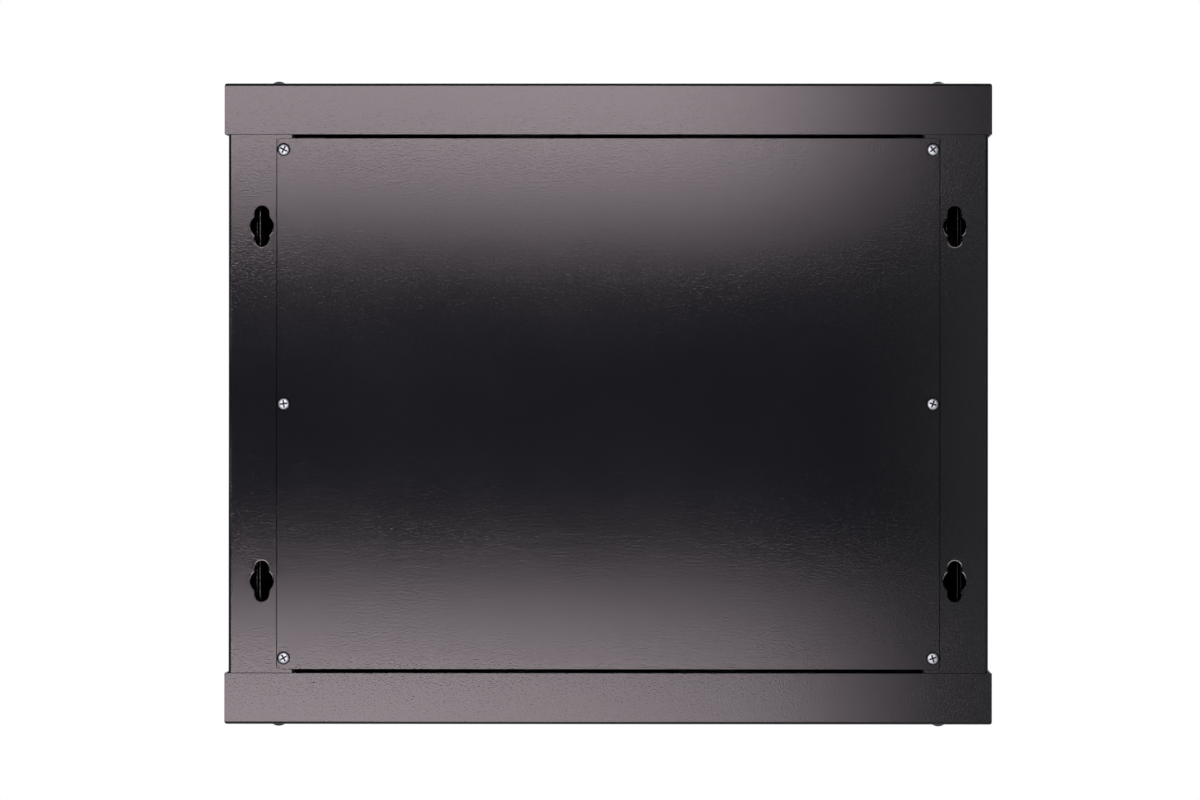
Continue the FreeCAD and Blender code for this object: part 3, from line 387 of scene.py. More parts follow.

# %% [markdown]
# Two kinds of place on the painted back are painted as shade. The lips that show through the
# keyholes are painted black and matt, as the shade of the dark inside, all but two thin lines
# along their edges. And where two painted sheets or a screw head and a sheet meet, a thin dark
# line is painted as the shade in the gap. A group turns distances in the object's own coordinates
# into one mask for both. The outer wall of the post lies inside too, but it keeps its paint.

# %% Painted shade group
OUTER_WALL_X = 0.2962
SECOND_EDGE_TRIM = 0.00015
painted_shade, given, gives = group_of(
    "painted_shade_places",
    [
        ("Inside Below Y", -1.0), ("Seam X", 0.2592), ("Seam Z", 0.2077), ("Seam Width", 0.0004),
        ("Ring X", 0.25385), ("Ring Z", 0.19885), ("Ring Radius", 0.0), ("Ring Width", 0.0004),
        ("Edge X", 0.2738), ("Second Edge X", 0.2762), ("Edge Half", 0.0003),
    ],
    [("Mask", "NodeSocketFloat")],
)


def calculate(operation, *values):
    """A Math node in this group; each value is a number or a socket."""
    step = painted_shade.nodes.new("ShaderNodeMath")
    step.operation = operation
    for socket, value in zip(step.inputs, values):
        feed(painted_shade, value, socket)
    return step.outputs[0]


place = painted_shade.nodes.new("ShaderNodeSeparateXYZ")
painted_shade.links.new(given["Place"], place.inputs[0])
side_x = calculate("ABSOLUTE", place.outputs["X"])
level_z = calculate("ABSOLUTE", place.outputs["Z"])
# Behind the post's face lie the keyhole lips, painted black as shade.
deep = calculate("LESS_THAN", place.outputs["Y"], given["Inside Below Y"])
from_first = calculate("ABSOLUTE", calculate("SUBTRACT", side_x, given["Edge X"]))
from_second = calculate("ABSOLUTE", calculate("SUBTRACT", side_x, given["Second Edge X"]))
from_edge = calculate("MINIMUM", from_first, calculate("ADD", from_second, SECOND_EDGE_TRIM))
off_edge = calculate("GREATER_THAN", from_edge, given["Edge Half"])
off_wall = calculate("LESS_THAN", side_x, OUTER_WALL_X)
inside = calculate("MULTIPLY", calculate("MULTIPLY", deep, off_edge), off_wall)
# Beside the panel's edge, a thin line of painted shade for the gap.
past_seam = calculate("SUBTRACT", side_x, given["Seam X"])
beside = calculate("GREATER_THAN", past_seam, 0.0)
within = calculate("LESS_THAN", past_seam, given["Seam Width"])
below_end = calculate("LESS_THAN", level_z, given["Seam Z"])
seam = calculate("MULTIPLY", calculate("MULTIPLY", beside, within), below_end)
# Round the panel screws, rings of painted shade under the heads.
across = calculate("POWER", calculate("SUBTRACT", side_x, given["Ring X"]), 2.0)
rings = []
for ring_level in (given["Ring Z"], 0.0):
    up = calculate("POWER", calculate("SUBTRACT", level_z, ring_level), 2.0)
    reach = calculate("SQRT", calculate("ADD", across, up))
    past = calculate("SUBTRACT", reach, given["Ring Radius"])
    rings.append(calculate("LESS_THAN", past, given["Ring Width"]))
ring = calculate("MAXIMUM", *rings)
marks = calculate("MAXIMUM", seam, ring)
painted_shade.links.new(calculate("MAXIMUM", marks, inside), gives["Mask"])
print("dull places nodes:", len(painted_shade.nodes))

# %% [markdown]
# The panel gets rings of painted shade round its screws. The posts get a line of painted shade
# beside the panel and the painted shade inside. Making such a place metallic as well as black
# takes away its last shine.

# %% Paint with painted shade
SHADE_ROUGHNESS = 0.75
# The black of the painted shade.
PAINTED_SHADE_BLACK = (0.001, 0.001, 0.001)


def painted_shade_coat(name, base, **places):
    """A copy of a powder coat in which the places of painted shade are black, rough and lose most
    of their shine.
    """
    material = base.copy()
    material.name = name
    tree = material.node_tree
    shader = tree.nodes["Principled BSDF"]
    values = {label.replace("_", " "): value for label, value in places.items()}
    mask = use_group(tree, painted_shade, values)["Mask"]
    gloss = shader.inputs["Roughness"].links[0].from_socket
    rough = tree.nodes.new("ShaderNodeMix")
    rough.data_type = "FLOAT"
    tree.links.new(mask, rough.inputs["Factor"])
    tree.links.new(gloss, rough.inputs[2])
    rough.inputs[3].default_value = SHADE_ROUGHNESS
    tree.links.new(rough.outputs[0], shader.inputs["Roughness"])
    tree.links.new(mask, shader.inputs["Metallic"])
    tone = shader.inputs["Base Color"].links[0].from_socket
    tree.links.new(add_mix(tree, mask, tone, PAINTED_SHADE_BLACK), shader.inputs["Base Color"])
    return material


panel_paint = painted_shade_coat("panel_powder_coat", cabinet_paint, Ring_Radius=0.0048, Seam_Width=0.0)
post_paint = painted_shade_coat("post_powder_coat", cabinet_paint, Inside_Below_Y=-0.02)
print("dulled paints:", panel_paint.name, post_paint.name)

# %% [markdown]
# Metal: bright zinc on the screws, black zinc on the bolts, chrome, plated steel, and a pale bare
# steel that is laid on some keyhole rims as a painted highlight. Plating is never quite even, so a
# cloud of noise shifts both its tone and its gloss, and a finer one puts small pits of light in
# it.

# %% Plating group
plating, given, gives = group_of(
    "plating_cloud",
    [("Gloss Low", 0.2), ("Gloss High", 0.4), ("Depth", 0.00001)],
    SKIN_OUTPUTS,
)
cloud = add_noise(plating, given["Place"], 420, 3.0)
pits = add_noise(plating, given["Place"], 2600, 2.0)
plating.links.new(add_bump(plating, pits, given["Depth"]), gives["Normal"])
uneven = add_range(plating, cloud, 0.3, 0.7, given["Gloss Low"], given["Gloss High"])
plating.links.new(uneven, gives["Roughness"])
plating.links.new(cloud, gives["Cloud"])
print("plating nodes:", len(plating.nodes))

# %% [markdown]
# Each metal has a dark and a pale tone, a low and a high gloss, and how much of it is metal: black
# zinc and the pale steel of the painted rim highlight are partly coat, so they take less than the
# whole.

# %% Metals
PIT_DEPTH = 0.000006


def plated_metal(name, dark, pale, gloss, metallic=1.0):
    """Metal between two tones, with its low and high roughness."""
    material, tree, shader = finish_material(name, pale, gloss[0], metallic)
    skin = use_group(
        tree, plating, {"Gloss Low": gloss[0], "Gloss High": gloss[1], "Depth": PIT_DEPTH}
    )
    wear_skin(tree, shader, skin, dark, pale)
    return material


bright_zinc = plated_metal("bright_zinc", (0.58, 0.65, 0.67), (0.76, 0.84, 0.86), (0.38, 0.50))
black_zinc = plated_metal(
    "black_zinc", (0.010, 0.010, 0.012), (0.022, 0.021, 0.022), (0.3, 0.42), metallic=0.6
)
spring_steel = plated_metal("spring_steel", (0.26, 0.26, 0.27), (0.42, 0.42, 0.43), (0.25, 0.4))
lock_chrome = plated_metal("lock_chrome", (0.6, 0.61, 0.63), (0.76, 0.77, 0.78), (0.1, 0.2))
# A pale steel laid on keyhole rims as a painted highlight.
rim_highlight = plated_metal(
    "painted_rim_highlight", (0.62, 0.61, 0.60), (0.85, 0.84, 0.83), (0.45, 0.6), metallic=0.45
)
lock_steel = plated_metal("lock_steel", (0.32, 0.32, 0.33), (0.5, 0.5, 0.5), (0.3, 0.45))
metals = (bright_zinc, black_zinc, spring_steel, lock_chrome, rim_highlight, lock_steel)
print("metals:", [metal.name for metal in metals])

# %% [markdown]
# The cross of a panel screw and the foot of its head lie deep, where little light comes back out,
# so the zinc darkens there from one depth to the next.

# %% Zinc of the panel screws
SHADE_STARTS_Y, SHADE_FULL_Y = -0.0009, -0.0014
SHADED_ZINC = (0.02, 0.03, 0.035)
screw_zinc = bright_zinc.copy()
screw_zinc.name = "panel_screw_zinc"
tree = screw_zinc.node_tree
shader = tree.nodes["Principled BSDF"]
place = tree.nodes.new("ShaderNodeSeparateXYZ")
tree.links.new(object_place(tree), place.inputs[0])
shade = add_range(tree, place.outputs["Y"], SHADE_STARTS_Y, SHADE_FULL_Y, 0.0, 1.0)
tone = shader.inputs["Base Color"].links[0].from_socket
tree.links.new(add_mix(tree, shade, tone, SHADED_ZINC), shader.inputs["Base Color"])
print("screw finish:", screw_zinc.name)

# %% [markdown]
# The door glass is clear, with the faint grey of toughened safety glass and a few smears. Foam,
# rubber and the floor are matt, with pores that a Bump node raises.

# %% Glass, foam, rubber and floor
door_glass, tree, shader = finish_material("toughened_glass", (0.86, 0.9, 0.9), 0.02)
shader.inputs["Transmission Weight"].default_value = 1.0
shader.inputs["IOR"].default_value = 1.5
smears = add_noise(tree, object_place(tree), 14, 4.0)
tree.links.new(add_range(tree, smears, 0.4, 0.8, 0.01, 0.05), shader.inputs["Roughness"])


def matt_finish(name, dark_level, pale_level, scale, depth, roughness):
    """A grey with pores: two levels of grey, the pores' scale and depth, and the roughness."""
    dark, pale = (dark_level,) * 3, (pale_level,) * 3
    material, tree, shader = finish_material(name, dark, roughness, specular=0.3)
    pores = add_noise(tree, object_place(tree), scale, 2.0)
    tree.links.new(add_mix(tree, pores, dark, pale), shader.inputs["Base Color"])
    uneven = add_range(tree, pores, 0.3, 0.7, roughness, roughness + 0.1)
    tree.links.new(uneven, shader.inputs["Roughness"])
    tree.links.new(add_bump(tree, pores, depth), shader.inputs["Normal"])
    return material


gasket_foam = matt_finish("gasket_foam", 0.012, 0.03, 1400, 0.0003, 0.85)
bumper_rubber = matt_finish("bumper_rubber", 0.014, 0.02, 1800, 0.00005, 0.6)
studio_floor = matt_finish("studio_floor", 0.80, 0.84, 30, 0.0002, 0.8)
floor.data.materials.append(studio_floor)
print("materials:", len(bpy.data.materials))

# %% [markdown]
# ## Slots and bodies
#
# The record names a slot for each solid. The table below says which finish each slot takes, and
# every solid gets it. The piece that will stand for a solid takes the same slot and body, so both
# are kept in tables by the solid's name.

# %% Finish every solid
FINISHES = {
    "cabinet_paint": cabinet_paint,
    "rail_paint": rail_paint,
    "black_bolt": black_zinc,
    "zinc_screw": bright_zinc,
    "hinge_steel": lock_steel,
    "spring_steel": spring_steel,
    "lock_chrome": lock_chrome,
    "lock_steel": lock_steel,
    "door_glass": door_glass,
    "gasket_foam": gasket_foam,
    "bumper_rubber": bumper_rubber,
}
slot_of = {part["node"]: part["material_slot"] for part in frame["record"]["subparts"]}
bodies = frame["record"]["behaviour"]["bodies"]
body_of = {node: body for body, members in bodies.items() for node in members}
for part in frame["record"]["subparts"]:
    solid = nodes[part["node"]]
    solid.data.materials.clear()
    solid.data.materials.append(FINISHES[part["material_slot"]])
print("finished solids:", len(nodes))

# %% [markdown]
# ## Turned pieces
#
# Screws, bolts and lock barrels are made on a lathe or a header, so the natural tool is a spin:
# half the outline is drawn as a line of points from the axis to the rim and turned round the axis.
# A thread is part of the outline too, as a row of rings with the right pitch.

# %% Turning


def turned(shape, outline, segments=40):
    """Turns an outline of (radius, height) points round Z and adds it to the bmesh."""
    points = [shape.verts.new((radius, 0, level)) for radius, level in outline]
    edges = [shape.edges.new(pair) for pair in zip(points, points[1:])]
    bmesh.ops.spin(
        shape, geom=points + edges, cent=(0, 0, 0), axis=(0, 0, 1), dvec=(0, 0, 0),
        angle=2 * math.pi, steps=segments, use_merge=True, use_duplicate=False,
    )
    bmesh.ops.remove_doubles(shape, verts=shape.verts, dist=1e-6)


def thread_line(radius, start, end, pitch=0.001, depth=0.0003):
    """Outline points of a thread, ring by ring, between two levels."""
    turns = max(1, round(abs(end - start) / pitch))
    step = (end - start) / turns
    line = []
    for turn in range(turns):
        line += [(radius - depth, start + step * turn), (radius, start + step * (turn + 0.5))]
    return line + [(radius - depth, end)]


print("rings on a 10 mm thread:", len(thread_line(0.003, 0, 0.01)) // 2)

# %% [markdown]
# Nuts, square necks and flat bars are not round. A nut is a prism whose edges are broken by a
# bevel. A bar is a box whose corners are rounded widely, seen along one axis, and then every rim.

# %% Nuts, necks and bars
SQUARE = {"sides": 4, "turn": math.radians(45)}


def prism(shape, across_flats, low, high, sides=6, turn=0.0):
    """A ring of flat sides between two levels, for a nut or a square neck; gives its corners."""
    radius = across_flats / 2 / math.cos(math.pi / sides)
    made = bmesh.ops.create_cone(
        shape, cap_ends=True, segments=sides, radius1=radius, radius2=radius, depth=high - low,
        matrix=Matrix.Translation((0, 0, (low + high) / 2)) @ Matrix.Rotation(turn, 4, "Z"),
    )
    return made["verts"]


def round_edges(shape, edges, width, segments=2, clamp=True):
    """Bevels edges and gives the faces that this makes."""
    return bmesh.ops.bevel(
        shape, geom=list(edges), offset=width, offset_type="OFFSET", affect="EDGES",
        segments=segments, profile=0.5, material=-1, clamp_overlap=clamp,
    )["faces"]


def nut(shape, across_flats, low, high, turn=0.0, rounding=0.0003):
    """A hexagon prism whose edges are broken."""
    corners = prism(shape, across_flats, low, high, turn=turn)
    round_edges(shape, {line for corner in corners for line in corner.link_edges}, rounding)


def bar(shape, low, high, along, corner, rounding):
    """A flat bar, alone in its bmesh: corners seen along one axis are rounded, then every rim."""
    size = Vector(high) - Vector(low)
    middle = (Vector(high) + Vector(low)) / 2
    made = bmesh.ops.create_cube(
        shape, size=1.0, matrix=Matrix.Translation(middle) @ Matrix.Diagonal((*size, 1.0))
    )["verts"]
    upright = [
        line for line in {line for vert in made for line in vert.link_edges}
        if abs((line.verts[0].co - line.verts[1].co)["XYZ".index(along)]) > 1e-6
    ]
    round_edges(shape, upright, corner, 6)
    rims = [
        line for line in shape.edges
        if len(line.link_faces) == 2 and line.calc_face_angle(0) > math.radians(60)
    ]
    round_edges(shape, rims, rounding)


sample = bmesh.new()
nut(sample, 0.010, 0.0, 0.005)
print("faces of a nut:", len(sample.faces))
sample.free()

# %% [markdown]
# Every shape is made along Z at the origin. One helper lays it on its axis at its place. The next
# joins shapes into one piece, which takes the slot and the body of the solid it stands for. On
# a sheet the narrow faces are shaded smooth, so that bevels read as roundings, and wide ones flat.

# %% Laying and keeping
AXIS_TURNS = {
    "X": Matrix.Rotation(math.radians(90), 4, "Y"),
    "Y": Matrix.Rotation(math.radians(-90), 4, "X"),
    "Z": Matrix.Identity(4),
}


def lay(shape, axis, place, facing=1, turn=0.0):
    """Turns a shape made along Z to lie along an axis, facing its plus or minus end."""
    move = Matrix.Translation(place) @ AXIS_TURNS[axis]
    if facing < 0:
        move = move @ Matrix.Rotation(math.pi, 4, "X")
    bmesh.ops.transform(shape, matrix=move @ Matrix.Rotation(turn, 4, "Z"), verts=shape.verts)


def face_width(face):
    """How wide a long face is: twice its area over the length of its rim."""
    return 2 * face.calc_area() / face.calc_perimeter()


def keep(name, shapes, node, flat_from=1.0, crease=32, finish=None):
    """Joins bmeshes into one piece that stands for a node; faces wider than flat_from stay flat.

    Faces marked with material index 1 take the painted rim highlight."""
    mesh = bpy.data.meshes.new(name)
    whole = bmesh.new()
    for shape in shapes:
        bmesh.ops.recalc_face_normals(shape, faces=shape.faces)
        shape.to_mesh(mesh)
        whole.from_mesh(mesh)
        shape.free()
    smooth = [face_width(face) < flat_from for face in whole.faces]
    indices = [face.material_index for face in whole.faces]
    whole.to_mesh(mesh)
    whole.free()
    if "custom_normal" in mesh.attributes:
        mesh.attributes.remove(mesh.attributes["custom_normal"])
    mesh.set_sharp_from_angle(angle=math.radians(crease))
    mesh.polygons.foreach_set("use_smooth", smooth)
    piece = bpy.data.objects.new(name, mesh)
    bpy.context.scene.collection.objects.link(piece)
    body, slot = body_of[node], slot_of[node]
    mesh.materials.append(finish or FINISHES[slot])
    # Index 1 takes the pale steel of the painted rim highlight.
    if any(indices):
        mesh.materials.append(rim_highlight)
    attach(piece, body)
    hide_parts(node)
    print(name, "faces:", len(mesh.polygons))
    return piece


print("axes to lie along:", list(AXIS_TURNS))

# %% [markdown]
# ### Recesses
#
# A screw has a cross in its head and a lock has a slot for its key. Both are made of rectangles:
# planes cut the outline of each rectangle into the turned head, and the faces inside are pushed
# down. A cross is also drawn in, so that its walls slope.

# %% Recesses


def sink(shape, rectangles, top, depth, draw_in=1.0):
    """Pushes rectangles (half width in X, half width in Y) down into the faces above a level."""
    for index, normal in enumerate((Vector((1, 0, 0)), Vector((0, 1, 0)))):
        reaches = {rectangle[index] for rectangle in rectangles}
        for offset in sorted(sign * reach for reach in reaches for sign in (-1, 1)):
            bmesh.ops.bisect_plane(
                shape, geom=shape.verts[:] + shape.edges[:] + shape.faces[:],
                plane_co=normal * offset, plane_no=normal, dist=1e-7,
            )
    inside = []
    for face in shape.faces:
        middle = face.calc_center_median()
        if middle.z > top and any(abs(middle.x) < x and abs(middle.y) < y for x, y in rectangles):
            inside.append(face)
    made = bmesh.ops.extrude_face_region(shape, geom=inside)
    bmesh.ops.delete(shape, geom=inside, context="FACES")
    sunk = [item for item in made["geom"] if isinstance(item, bmesh.types.BMVert)]
    bmesh.ops.scale(shape, vec=(draw_in, draw_in, 1), verts=sunk)
    bmesh.ops.translate(shape, vec=(0, 0, -depth), verts=sunk)


CROSS_ARM, CROSS_HALF_WIDTH = 0.0029, 0.00065
CROSS = ((CROSS_HALF_WIDTH, CROSS_ARM), (CROSS_ARM, CROSS_HALF_WIDTH))
KEY_SLOT = ((0.00375, 0.0007),)
print("rectangles in a cross:", len(CROSS), "and in a key slot:", len(KEY_SLOT))

# %% [markdown]
# ### Panel screws
#
# Six small pan-head screws hold the back panel. They are bright zinc with a cross recess, and
# each has come to rest at its own angle.

# %% Panel screws
CROSS_DEPTH = 0.0016
HEAD_WIDTH, HEAD_RIM, SHANK = 0.0095, 0.00472, 0.0018
SCREW_TURNS = {(1, 1): 62, (1, 0): 8, (1, -1): 30, (-1, 1): 40, (-1, 0): 70, (-1, -1): 18}
low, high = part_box("rear_panel_screws")
screw_x = high.x - HEAD_WIDTH / 2
screw_z = high.z - HEAD_WIDTH / 2
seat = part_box("rear_panel")[1].y
head = high.y - seat
tip = low.y - seat
screws = []
for (side, level), degrees in SCREW_TURNS.items():
    screw = bmesh.new()
    turned(screw, [
        (0.0, head), (0.0016, head * 0.995), (0.0028, head * 0.97), (0.0036, head * 0.90),
        (0.0042, head * 0.74), (0.0045, head * 0.50), (HEAD_RIM, head * 0.25), (HEAD_RIM, 0.0),
        (SHANK, 0.0), *thread_line(SHANK, -0.0004, tip + 0.0006, 0.0007),
        (0.0011, tip), (0.0, tip),
    ])
    sink(screw, CROSS, head * 0.5, CROSS_DEPTH, draw_in=0.62)
    lay(screw, "Y", (side * screw_x, seat, level * screw_z), turn=math.radians(degrees))
    screws.append(screw)
keep("panel_screws", screws, "rear_panel_screws", finish=screw_zinc)

# %% [markdown]
# ### Cover bolts
#
# Each cover is held by four bolts with low domed heads and square necks, from above or below.

# %% Cover bolts
REAR_BOLT_X, REAR_BOLT_Y = 0.2585, -0.025
FRONT_BOLT_X, FRONT_BOLT_Y = 0.2795, -0.412
NECK_FLATS, NECK_END = 0.0063, -0.0026


def dome_outline(radius, height, steps=7):
    """Points of a low dome, from its middle to its rim."""
    sphere = (radius ** 2 + height ** 2) / (2 * height)
    reach = math.asin(radius / sphere)
    angles = [reach * step / steps for step in range(steps + 1)]
    return [(sphere * math.sin(a), height - sphere * (1 - math.cos(a))) for a in angles]


for name, facing in (("cover_bolts_top", 1), ("cover_bolts_bottom", -1)):
    low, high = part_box(name)
    cover_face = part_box("top_cover")[1].z * facing
    head = (high.z if facing > 0 else -low.z) - abs(cover_face)
    depth = abs((low.z if facing > 0 else high.z) - cover_face)
    bolts = []
    for x, y in ((REAR_BOLT_X, REAR_BOLT_Y), (FRONT_BOLT_X, FRONT_BOLT_Y)):
        for side in (-1, 1):
            bolt = bmesh.new()
            turned(bolt, [
                *dome_outline(0.0057, head * 0.98), (0.0028, 0.0),
                *thread_line(0.0030, NECK_END, 0.0006 - depth), (0.0024, -depth), (0.0, -depth),
            ])
            prism(bolt, NECK_FLATS, NECK_END, -0.0001, **SQUARE)
            lay(bolt, "Z", (side * x, y, cover_face), facing)
            bolts.append(bolt)
    keep(name.replace("cover_bolts", "domed_bolts"), bolts, name)

# %% [markdown]
# ### Softened sheet edges
#
# Sheet metal is never sharp once it is painted: the powder melts round each cut edge, and the
# edge then catches the lamps as a thin bright line. A Bevel on the plain solid itself would change
# the construction model, so a copy of each sheet is merged, its flat faces are joined again, its
# edges are bevelled by a third of a millimetre, and the copy stands in for the plain one. The
# rims of the keyholes get a wider rounding. On the ends nearest to the middle of the back, whose
# rims look away from it, a pale bare steel is laid as a painted highlight.

# %% Softened sheets
SOFT_EDGE = 0.0003
KEYHOLE_WIDENING = 2.2
POST_FACE_Y = -0.003
KEYHOLE_X, KEYHOLE_Z = (0.258, 0.283), (0.11, 0.17)


def softened(node, width=SOFT_EDGE, leave=None, wide=None, finish=None):
    """A copy of a sheet with rounded edges; leave and wide test the middle of an edge."""
    shape = bmesh.new()
    shape.from_mesh(nodes[node].data)
    bmesh.ops.remove_doubles(shape, verts=shape.verts, dist=2e-6)
    bmesh.ops.dissolve_limit(
        shape, angle_limit=math.radians(0.5), use_dissolve_boundaries=False,
        verts=shape.verts, edges=shape.edges,
    )
    sharp = {False: [], True: []}
    for line in shape.edges:
        middle = (line.verts[0].co + line.verts[1].co) / 2
        if len(line.link_faces) != 2 or line.calc_face_angle(0) < math.radians(40):
            continue
        if not (leave and leave(middle)):
            sharp[bool(wide and wide(middle))].append(line)
    if sharp[True]:
        rims = round_edges(shape, sharp[True], width * KEYHOLE_WIDENING, 3, clamp=False)
        shape.normal_update()
        # Rim faces that look away from the middle take the pale steel, a painted highlight.
        for face in rims:
            away_from_middle = face.normal.z * math.copysign(1, face.calc_center_median().z)
            if away_from_middle > 0.12 and face.normal.y > 0.2:
                face.material_index = 1
        sharp[False] = [line for line in sharp[False] if line.is_valid]
    round_edges(shape, sharp[False], width)
    keep(f"{node}_painted", [shape], node, flat_from=0.002, crease=50, finish=finish)


def at_panel_screw(point):
    """Screw heads hide these small edges, and a rounding there would pull at the flat face."""
    return any(
        (abs(point.x) - screw_x) ** 2 + (abs(point.z) - level) ** 2 < 0.004 ** 2
        for level in (screw_z, 0.0)
    )


def at_keyhole(point):
    """The rims of the keyholes in the outer face of a post."""
    on_face = abs(point.y - POST_FACE_Y) < 0.0001
    in_x = KEYHOLE_X[0] < abs(point.x) < KEYHOLE_X[1]
    return on_face and in_x and KEYHOLE_Z[0] < abs(point.z) < KEYHOLE_Z[1]


softened("rear_panel", leave=at_panel_screw, finish=panel_paint)
for name in ("rear_post_left", "rear_post_right"):
    softened(name, leave=at_panel_screw, wide=at_keyhole, finish=post_paint)
SHEETS = [
    "top_cover", "bottom_cover", "front_post_left", "front_post_right", "front_top_rail",
    "front_bottom_rail", "door_frame", "side_panel_left", "side_panel_right",
    "upper_side_rail_left", "upper_side_rail_right", "lower_side_rail_left",
    "lower_side_rail_right", "front_rack_rail_left", "front_rack_rail_right",
    "rear_rack_rail_left", "rear_rack_rail_right",
    "top_entry_plate", "top_entry_guides", "bottom_entry_plate", "bottom_entry_guides",
    "hinge_brackets", "hinge_carriers",
]
for sheet in SHEETS:
    softened(sheet)

# %% [markdown]
# ### Rack bolts
#
# Each 19 inch rail is held by two bolts through the slots of the side rails, with a hexagon head
# inside and a nut outside. A prism with broken edges makes both, and between them a turned thread.

# %% Rack bolts
HEXAGON = 0.010
HEXAGON_TURN = math.radians(30)
HEAD_END, SQUARE_END, NUT_HEIGHT = 0.0034, 0.0052, 0.005
for side_name, side in (("left", -1), ("right", 1)):
    for row in ("front", "rear"):
        name = f"{row}_rack_bolts_{side_name}"
        low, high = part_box(name)
        middle_y = (low.y + high.y) / 2
        level = high.z - HEXAGON / 2 / math.cos(HEXAGON_TURN)
        inner = min(abs(low.x), abs(high.x))
        length = max(abs(low.x), abs(high.x)) - inner
        bolts = []
        for end in (-1, 1):
            bolt = bmesh.new()
            nut(bolt, HEXAGON, 0.0, HEAD_END, turn=HEXAGON_TURN)
            prism(bolt, 0.0062, HEAD_END, SQUARE_END, **SQUARE)
            nut(bolt, HEXAGON, length - NUT_HEIGHT, length, turn=HEXAGON_TURN)
            turned(bolt, [
                (0.0, 0.001), (0.0028, 0.001),
                *thread_line(0.0029, SQUARE_END, length - 0.0004), (0.0, length - 0.0002),
            ], 24)
            lay(bolt, "X", (side * inner, middle_y, end * level), side)
            bolts.append(bolt)
        keep(name.replace("bolts", "rail_bolts"), bolts, name)

# %% [markdown]
# ### Cam locks
#
# A cam lock is a chromed barrel with a bezel, a hexagon nut behind the sheet, a key plug with a
# square shaft, and a flat steel cam. Bezel, barrel and plug are turned, and the key slot is sunk
# into the plug like the cross into a screw.

# %% Lock and cam
BARREL_NUT, BARREL_NUT_HEIGHT = 0.0239, 0.003
CAM_SCREW_HEIGHT = 0.0025


def lock(body_node, plug_node, axis, place, facing, length, nut_seat, shaft_end, nut_turn):
    """Barrel with its nut, and plug with its shaft; place is on the outer face of the sheet."""
    barrel = bmesh.new()
    turned(barrel, [
        (0.00605, -length), (0.0091, -length), (0.0095, 0.0005 - length),
        *thread_line(0.0095, 0.0006 - length, -0.0013), (0.0095, -0.0006), (0.0095, 0.0),
        (0.0108, 0.0), (0.0110, 0.0003), (0.0110, 0.0009), (0.0107, 0.0016), (0.0099, 0.00195),
        (0.0070, 0.00195), (0.0064, 0.0017), (0.00605, 0.0011), (0.00605, -length),
    ], 56)
    nut_end = -nut_seat - BARREL_NUT_HEIGHT
    nut(barrel, BARREL_NUT, nut_end, -nut_seat, rounding=0.0005, turn=nut_turn)
    lay(barrel, axis, place, facing)
    keep(f"{body_node}_turned", [barrel], body_node)
    plug = bmesh.new()
    turned(plug, [
        (0.0, 0.0015), (0.0052, 0.0015), (0.0057, 0.0013), (0.00595, 0.0009), (0.00595, -length),
        (0.0, -length),
    ], 48)
    sink(plug, KEY_SLOT, 0.001, 0.004)
    prism(plug, 0.007, -shaft_end, -length, **SQUARE)
    lay(plug, axis, place, facing, turn=math.radians(90) if axis == "Y" else 0.0)
    keep(f"{plug_node}_turned", [plug], plug_node)


def cam(name, centre, axis, toward, flats_turn):
    """A flat cam with round corners, and the hexagon screw that holds it on the shaft."""
    low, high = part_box(name)
    index = "XYZ".index(axis)
    plate_low, plate_high = low.copy(), high.copy()
    if toward > 0:
        plate_high[index] -= CAM_SCREW_HEIGHT
    else:
        plate_low[index] += CAM_SCREW_HEIGHT
    plate = bmesh.new()
    bar(plate, plate_low, plate_high, axis, 0.0045, 0.0003)
    screw = bmesh.new()
    nut(screw, 0.008, -0.0004, CAM_SCREW_HEIGHT, turn=flats_turn, rounding=0.0004)
    centre = Vector(centre)
    centre[index] = plate_high[index] if toward > 0 else plate_low[index]
    lay(screw, axis, centre, toward)
    keep(f"{name}_plate", [plate, screw], name)


print("nut of a lock in mm:", BARREL_NUT * 1000, "by", BARREL_NUT_HEIGHT * 1000)

# %% [markdown]
# The door's lock looks to the front. The locks of the side panels look outwards, each on its side.

# %% Place the locks
DOOR_LOCK_X, SIDE_FACE_X = 0.25, 0.297
door_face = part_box("door_frame")[0].y
door_lock_place = (DOOR_LOCK_X, door_face, 0.0)
lock(
    "door_lock_body", "door_lock_plug", "Y", door_lock_place, facing=-1,
    length=0.020, nut_seat=0.0012, shaft_end=0.0295, nut_turn=0.0,
)
cam("door_lock_cam", door_lock_place, "Y", 1, 0.0)
side_low, side_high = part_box("side_lock_body_right")
side_y = (side_low.y + side_high.y) / 2
side_z = (side_low.z + side_high.z) / 2
for side_name, side in (("left", -1), ("right", 1)):
    side_lock_place = (side * SIDE_FACE_X, side_y, side_z)
    lock(
        f"side_lock_body_{side_name}", f"side_lock_plug_{side_name}", "X", side_lock_place,
        facing=side, length=0.012, nut_seat=0.001, shaft_end=0.0175, nut_turn=HEXAGON_TURN,
    )
    cam(f"side_lock_cam_{side_name}", side_lock_place, "X", -side, HEXAGON_TURN)

# %% [markdown]
# ### Hinge pins and springs
#
# A spring behind a collar pushes each hinge pin out of the door; pulling its flat tail in frees
# the door. The pin is turned, its tail is a flat bar, and the spring is a small circle of wire
# spun up a screw line: flat end turns first and last, with open turns between.

# %% Hinge pins and springs
HINGE_X, HINGE_Y = -0.289, -0.440
TAIL_INSET, TAIL_WIDTH, TAIL_THICKNESS = 0.00165, 0.003, 0.003
SPRING_RADIUS, SPRING_WIRE = 0.0042, 0.0012


